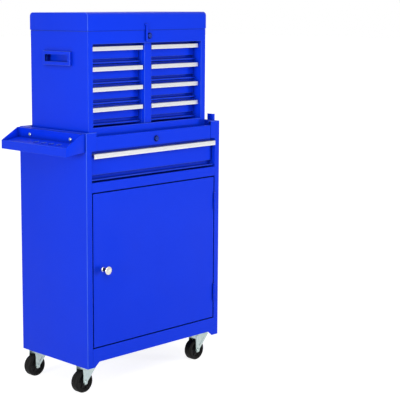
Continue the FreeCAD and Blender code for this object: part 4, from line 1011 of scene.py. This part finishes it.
# Bolts, nuts and screws, each drawn once and set where the assembly has one.
hexagon = {"slope": 0.58, "boreDepth": 1.2, "edge": 0.25, "over": 50.0}
casterNut = {"radius": 5.6, "height": 3.2, "chamfer": 0.7, "bore": 3.3, "level": 88.5, "turn": 0.5}
casterBolt = {"centreX": 232.0, "centreY": 108.0, "alongX": 23.0, "alongY": 18.5, "level": 92.0,
              "length": 6.6, "shank": 3.0, "tip": 0.5, "sunk": 0.1, "turn": 0.7, "turnSide": 0.4}
axleNut = {"radius": 6.3, "height": 3.4, "chamfer": 0.8, "bore": 3.1, "out": 16.3, "turn": 0.3}
panScrew = {"head": 5.4, "height": 2.5, "shank": 2.3, "length": 5.0, "tip": 0.5, "steps": 5, "sweep": 80,
            "crown": 0.45, "flat": 0.35, "crossWidth": 1.5, "crossReach": 6.2, "crossDepth": 1.7,
            "crossOver": 1.0}
trayScrew = {"x": -278.55, "y": 90.0, "z": 728.0, "turn": 0.5}
hangerScrew = {"x": 271.0, "y": -109.0, "levels": (702.0, 726.0), "turn": 0.3}


def hexMesh(name, size, bore=0.0):
    radius, high, chamfer = size["radius"], size["height"], size["chamfer"]
    angles = [radians(60 * k) for k in range(6)]
    corner = [(cos(angle), sin(angle)) for angle in angles]
    levels = [(0.0, radius), (high - chamfer * hexagon["slope"], radius), (high, radius - chamfer)]
    if bore:
        levels += [(high, bore), (high - hexagon["boreDepth"], bore)]
    work = bmesh.new()
    rings = [[work.verts.new(Vector((u * out, v * out, level)) * mm) for u, v in corner]
             for level, out in levels]
    for first, second in zip(rings, rings[1:]):
        wallRings(work, first, second)
    work.faces.new(rings[0])
    work.faces.new(rings[-1])
    faceOutward(work)
    breakEdges(work, hexagon["edge"], hexagon["over"])
    return closeMesh(work, name, crease)


# A pan head with a cross recess, on a short shank.
def makeScrew():
    head, tall, core = panScrew["head"], panScrew["height"], panScrew["shank"]
    end, tip = -panScrew["length"], panScrew["tip"]
    profile = [(end, 0), (end, core - tip), (end + tip, core), (0.0, core), (0.0, head)]
    for step in range(1, panScrew["steps"] + 1):
        angle = radians(panScrew["sweep"] * step / panScrew["steps"])
        profile.append((tall * sin(angle), head - head * panScrew["crown"] * (1 - cos(angle))))
    profile += [(tall, head * panScrew["flat"]), (tall, 0)]
    screw = pattern(turnedMesh("screw", profile, (0, 0, 0), (0, 0, 1), segments=40))
    half, reach, deep = panScrew["crossWidth"] / 2, panScrew["crossReach"] / 2, tall - panScrew["crossDepth"]
    for x, y in ((half, reach), (reach, half)):
        cutter = pattern(boxMesh("cross", (-x, -y, deep), (x, y, tall + panScrew["crossOver"])))
        addCut(screw, cutter)
        applyAll(screw)
        drop(cutter)
    screw.data.set_sharp_from_angle(angle=radians(crease))
    return screw


# A spot is a place, the way it faces and its spin. Each attribute is filled before the next is made.
def setFasteners(name, part, spots, body, slot, *replaced):
    mesh = bpy.data.meshes.new(name)
    mesh.from_pydata([Vector(at) * mm for at, facing, spin in spots], [], [])
    for label, kind, field, place in (("facing", "FLOAT_VECTOR", "vector", 1), ("spin", "FLOAT", "value", 2)):
        values = mesh.attributes.new(label, kind, "POINT").data
        for number, spot in enumerate(spots):
            setattr(values[number], field, spot[place])
    piece = newPiece(name, mesh)
    runTree(piece, fastenerSetter, Part=part, Material=finishes[slot])
    drop(part)
    settle(piece, body, slot, *replaced)


def makeCasterBolts():
    boltSpots, nutSpots = [], []
    plateCorners = ((-1, -1), (1, -1), (-1, 1), (1, 1))
    for sideX in (-1, 1):
        for sideY in (-1, 1):
            for number, (wayX, wayY) in enumerate(plateCorners):
                x = casterBolt["centreX"] * sideX + casterBolt["alongX"] * wayX
                y = casterBolt["centreY"] * sideY + casterBolt["alongY"] * wayY
                turn = casterBolt["turn"] * number + casterBolt["turnSide"] * sideX
                boltSpots.append(((x, y, casterBolt["level"]), (0.0, 0.0, 1.0), turn))
                nutSpots.append(((x, y, casterNut["level"]), (0.0, 0.0, -1.0), turn + casterNut["turn"]))
    ends = -casterBolt["length"], casterBolt["sunk"]
    shank = pinMesh("shank", *ends, casterBolt["shank"], casterBolt["tip"], (0, 0, 0), (0, 0, 1))
    bolt = pattern(joinMeshes("bolt", [hexMesh("head", casterNut), shank]))
    setFasteners("casterBolts", bolt, boltSpots, "cabinet", "zinc", "cabinet_fasteners")
    nut = pattern(hexMesh("nut", casterNut, casterNut["bore"]))
    setFasteners("casterNuts", nut, nutSpots, "cabinet", "zinc", "cabinet_fasteners")


def makeAxleNuts(place):
    x, y, z = wheelCentre(place)
    spots = [((x, y + axleNut["out"] * way, z), (0.0, float(way), 0.0), axleNut["turn"] + way)
             for way in (-1, 1)]
    nut = pattern(hexMesh("axleNut", axleNut, axleNut["bore"]))
    setFasteners("axleNuts_" + place, nut, spots, bodyOf["caster_fork_" + place], "zinc")


def makePanelScrews():
    spots = [((trayScrew["x"], trayScrew["y"] * way, trayScrew["z"]), (-1.0, 0.0, 0.0),
              trayScrew["turn"] * way) for way in (-1, 1)]
    spots += [((hangerScrew["x"], hangerScrew["y"], level), (1.0, 0.0, 0.0), hangerScrew["turn"])
              for level in hangerScrew["levels"]]
    setFasteners("panelScrews", makeScrew(), spots, "cabinet", "zinc", "cabinet_fasteners")


makeCasterBolts()
for place in corners:
    makeAxleNuts(place)
makePanelScrews()
print("fasteners done")


# Room, light and camera
room = {"floorSize": 60.0, "floorColour": 0.45, "floorRoughness": 0.9, "floorGloss": 0.1,
        "liftNear": 0.86, "liftFar": 1.0, "near": 1.2, "far": 4.0, "skyForDiffuse": 0.26}


# One for what the camera sees straight, mirrored or through glass, else nought.
def seenByCamera(tree):
    path = addNode(tree, "ShaderNodeLightPath")
    bounced = addMath(tree, "MAXIMUM", path.outputs["Is Glossy Ray"], path.outputs["Is Transmission Ray"])
    return addMath(tree, "MAXIMUM", path.outputs["Is Camera Ray"], bounced)


# The floor glows a little for the camera, more so far off, where it meets the white sky.
def makeFloorPaint():
    tone = room["floorColour"]
    material, tree, shader = startMaterial("paleFloor", (tone, tone, tone), room["floorRoughness"],
                                           gloss=room["floorGloss"])
    place = addNode(tree, "ShaderNodeTexCoord")
    distance = addNode(tree, "ShaderNodeVectorMath", operation="LENGTH")
    link(place.outputs["Object"], distance, 0)
    fade = spreadValue(tree, distance.outputs["Value"], room["liftNear"], room["liftFar"], room["near"],
                       room["far"])
    fade.node.interpolation_type = "SMOOTHSTEP"
    lift = addNode(tree, "ShaderNodeEmission")
    lift.inputs["Color"].default_value = (1.0, 1.0, 1.0, 1.0)
    link(addMath(tree, "MULTIPLY", seenByCamera(tree), fade), lift, "Strength")
    both = addNode(tree, "ShaderNodeAddShader")
    link(shader.outputs[0], both, 0)
    link(lift.outputs[0], both, 1)
    link(both.outputs[0], tree.nodes["Material Output"], "Surface")
    return material


def makeRoom():
    ground = bpy.data.meshes.new("ground")
    half = room["floorSize"] / 2
    ground.from_pydata([(-half, -half, 0), (half, -half, 0), (half, half, 0), (-half, half, 0)], [],
                       [(0, 1, 2, 3)])
    floor = addObject("floor", ground)
    ground.materials.append(makeFloorPaint())
    scene.world = bpy.data.worlds.new("whiteRoom")
    scene.world.use_nodes = True
    sky = scene.world.node_tree
    background = sky.nodes["Background"]
    background.inputs["Color"].default_value = (1.0, 1.0, 1.0, 1.0)
    level = spreadValue(sky, seenByCamera(sky), room["skyForDiffuse"], 1.0)
    link(level, background, "Strength")


lamps = {
    "keyLamp": {"at": (1.95, -2.25, 0.42), "to": (0.0, 0.0, 0.68), "size": 0.22, "power": 42.0,
                "mirrored": False},
    "frontLamp": {"at": (-0.75, -1.2, 1.3), "to": (-0.15, 0.0, 0.8), "size": 0.7, "power": 9.6},
    "sideLamp": {"at": (-3.0, -0.62, 0.85), "to": (-0.2, 0.0, 0.75), "size": 0.9, "power": 47.0},
    "topLamp": {"at": (-0.2, 0.5, 3.8), "to": (0.0, 0.0, 0.9), "size": 2.0, "power": 24.0},
}


def makeLamps():
    for name, facts in lamps.items():
        lamp = bpy.data.lights.new(name, "AREA")
        lamp.size = facts["size"]
        lamp.energy = facts["power"]
        item = addObject(name, lamp)
        item.location = facts["at"]
        item.visible_glossy = facts.get("mirrored", True)
        aim = Vector(facts["to"]) - Vector(facts["at"])
        item.rotation_euler = aim.to_track_quat("-Z", "Y").to_euler()


# The photograph's own view, in metres and radians.
view = {"at": (-2.38736, -2.57677, 1.09637), "azimuth": 0.7542, "down": 0.1471, "roll": -0.0022,
        "lens": 106.09, "sensor": 36.0, "shiftX": 0.175, "shiftY": -0.05, "far": 60.0}


def makeCamera():
    data = bpy.data.cameras.new("camera")
    data.lens = view["lens"]
    data.sensor_width = view["sensor"]
    data.shift_x, data.shift_y = view["shiftX"], view["shiftY"]
    data.clip_end = view["far"]
    camera = addObject("camera", data)
    azimuth, down = view["azimuth"], view["down"]
    ahead = Vector((sin(azimuth) * cos(down), cos(azimuth) * cos(down), -sin(down)))
    right = Vector((cos(azimuth), -sin(azimuth), 0.0))
    turn = Matrix((right, right.cross(ahead), -ahead)).transposed()
    camera.rotation_euler = (turn @ Matrix.Rotation(view["roll"], 3, "Z")).to_euler()
    camera.location = view["at"]
    scene.camera = camera


makeRoom()
makeLamps()
makeCamera()
scene.view_settings.view_transform = "Standard"
print("room, lamps and camera done")
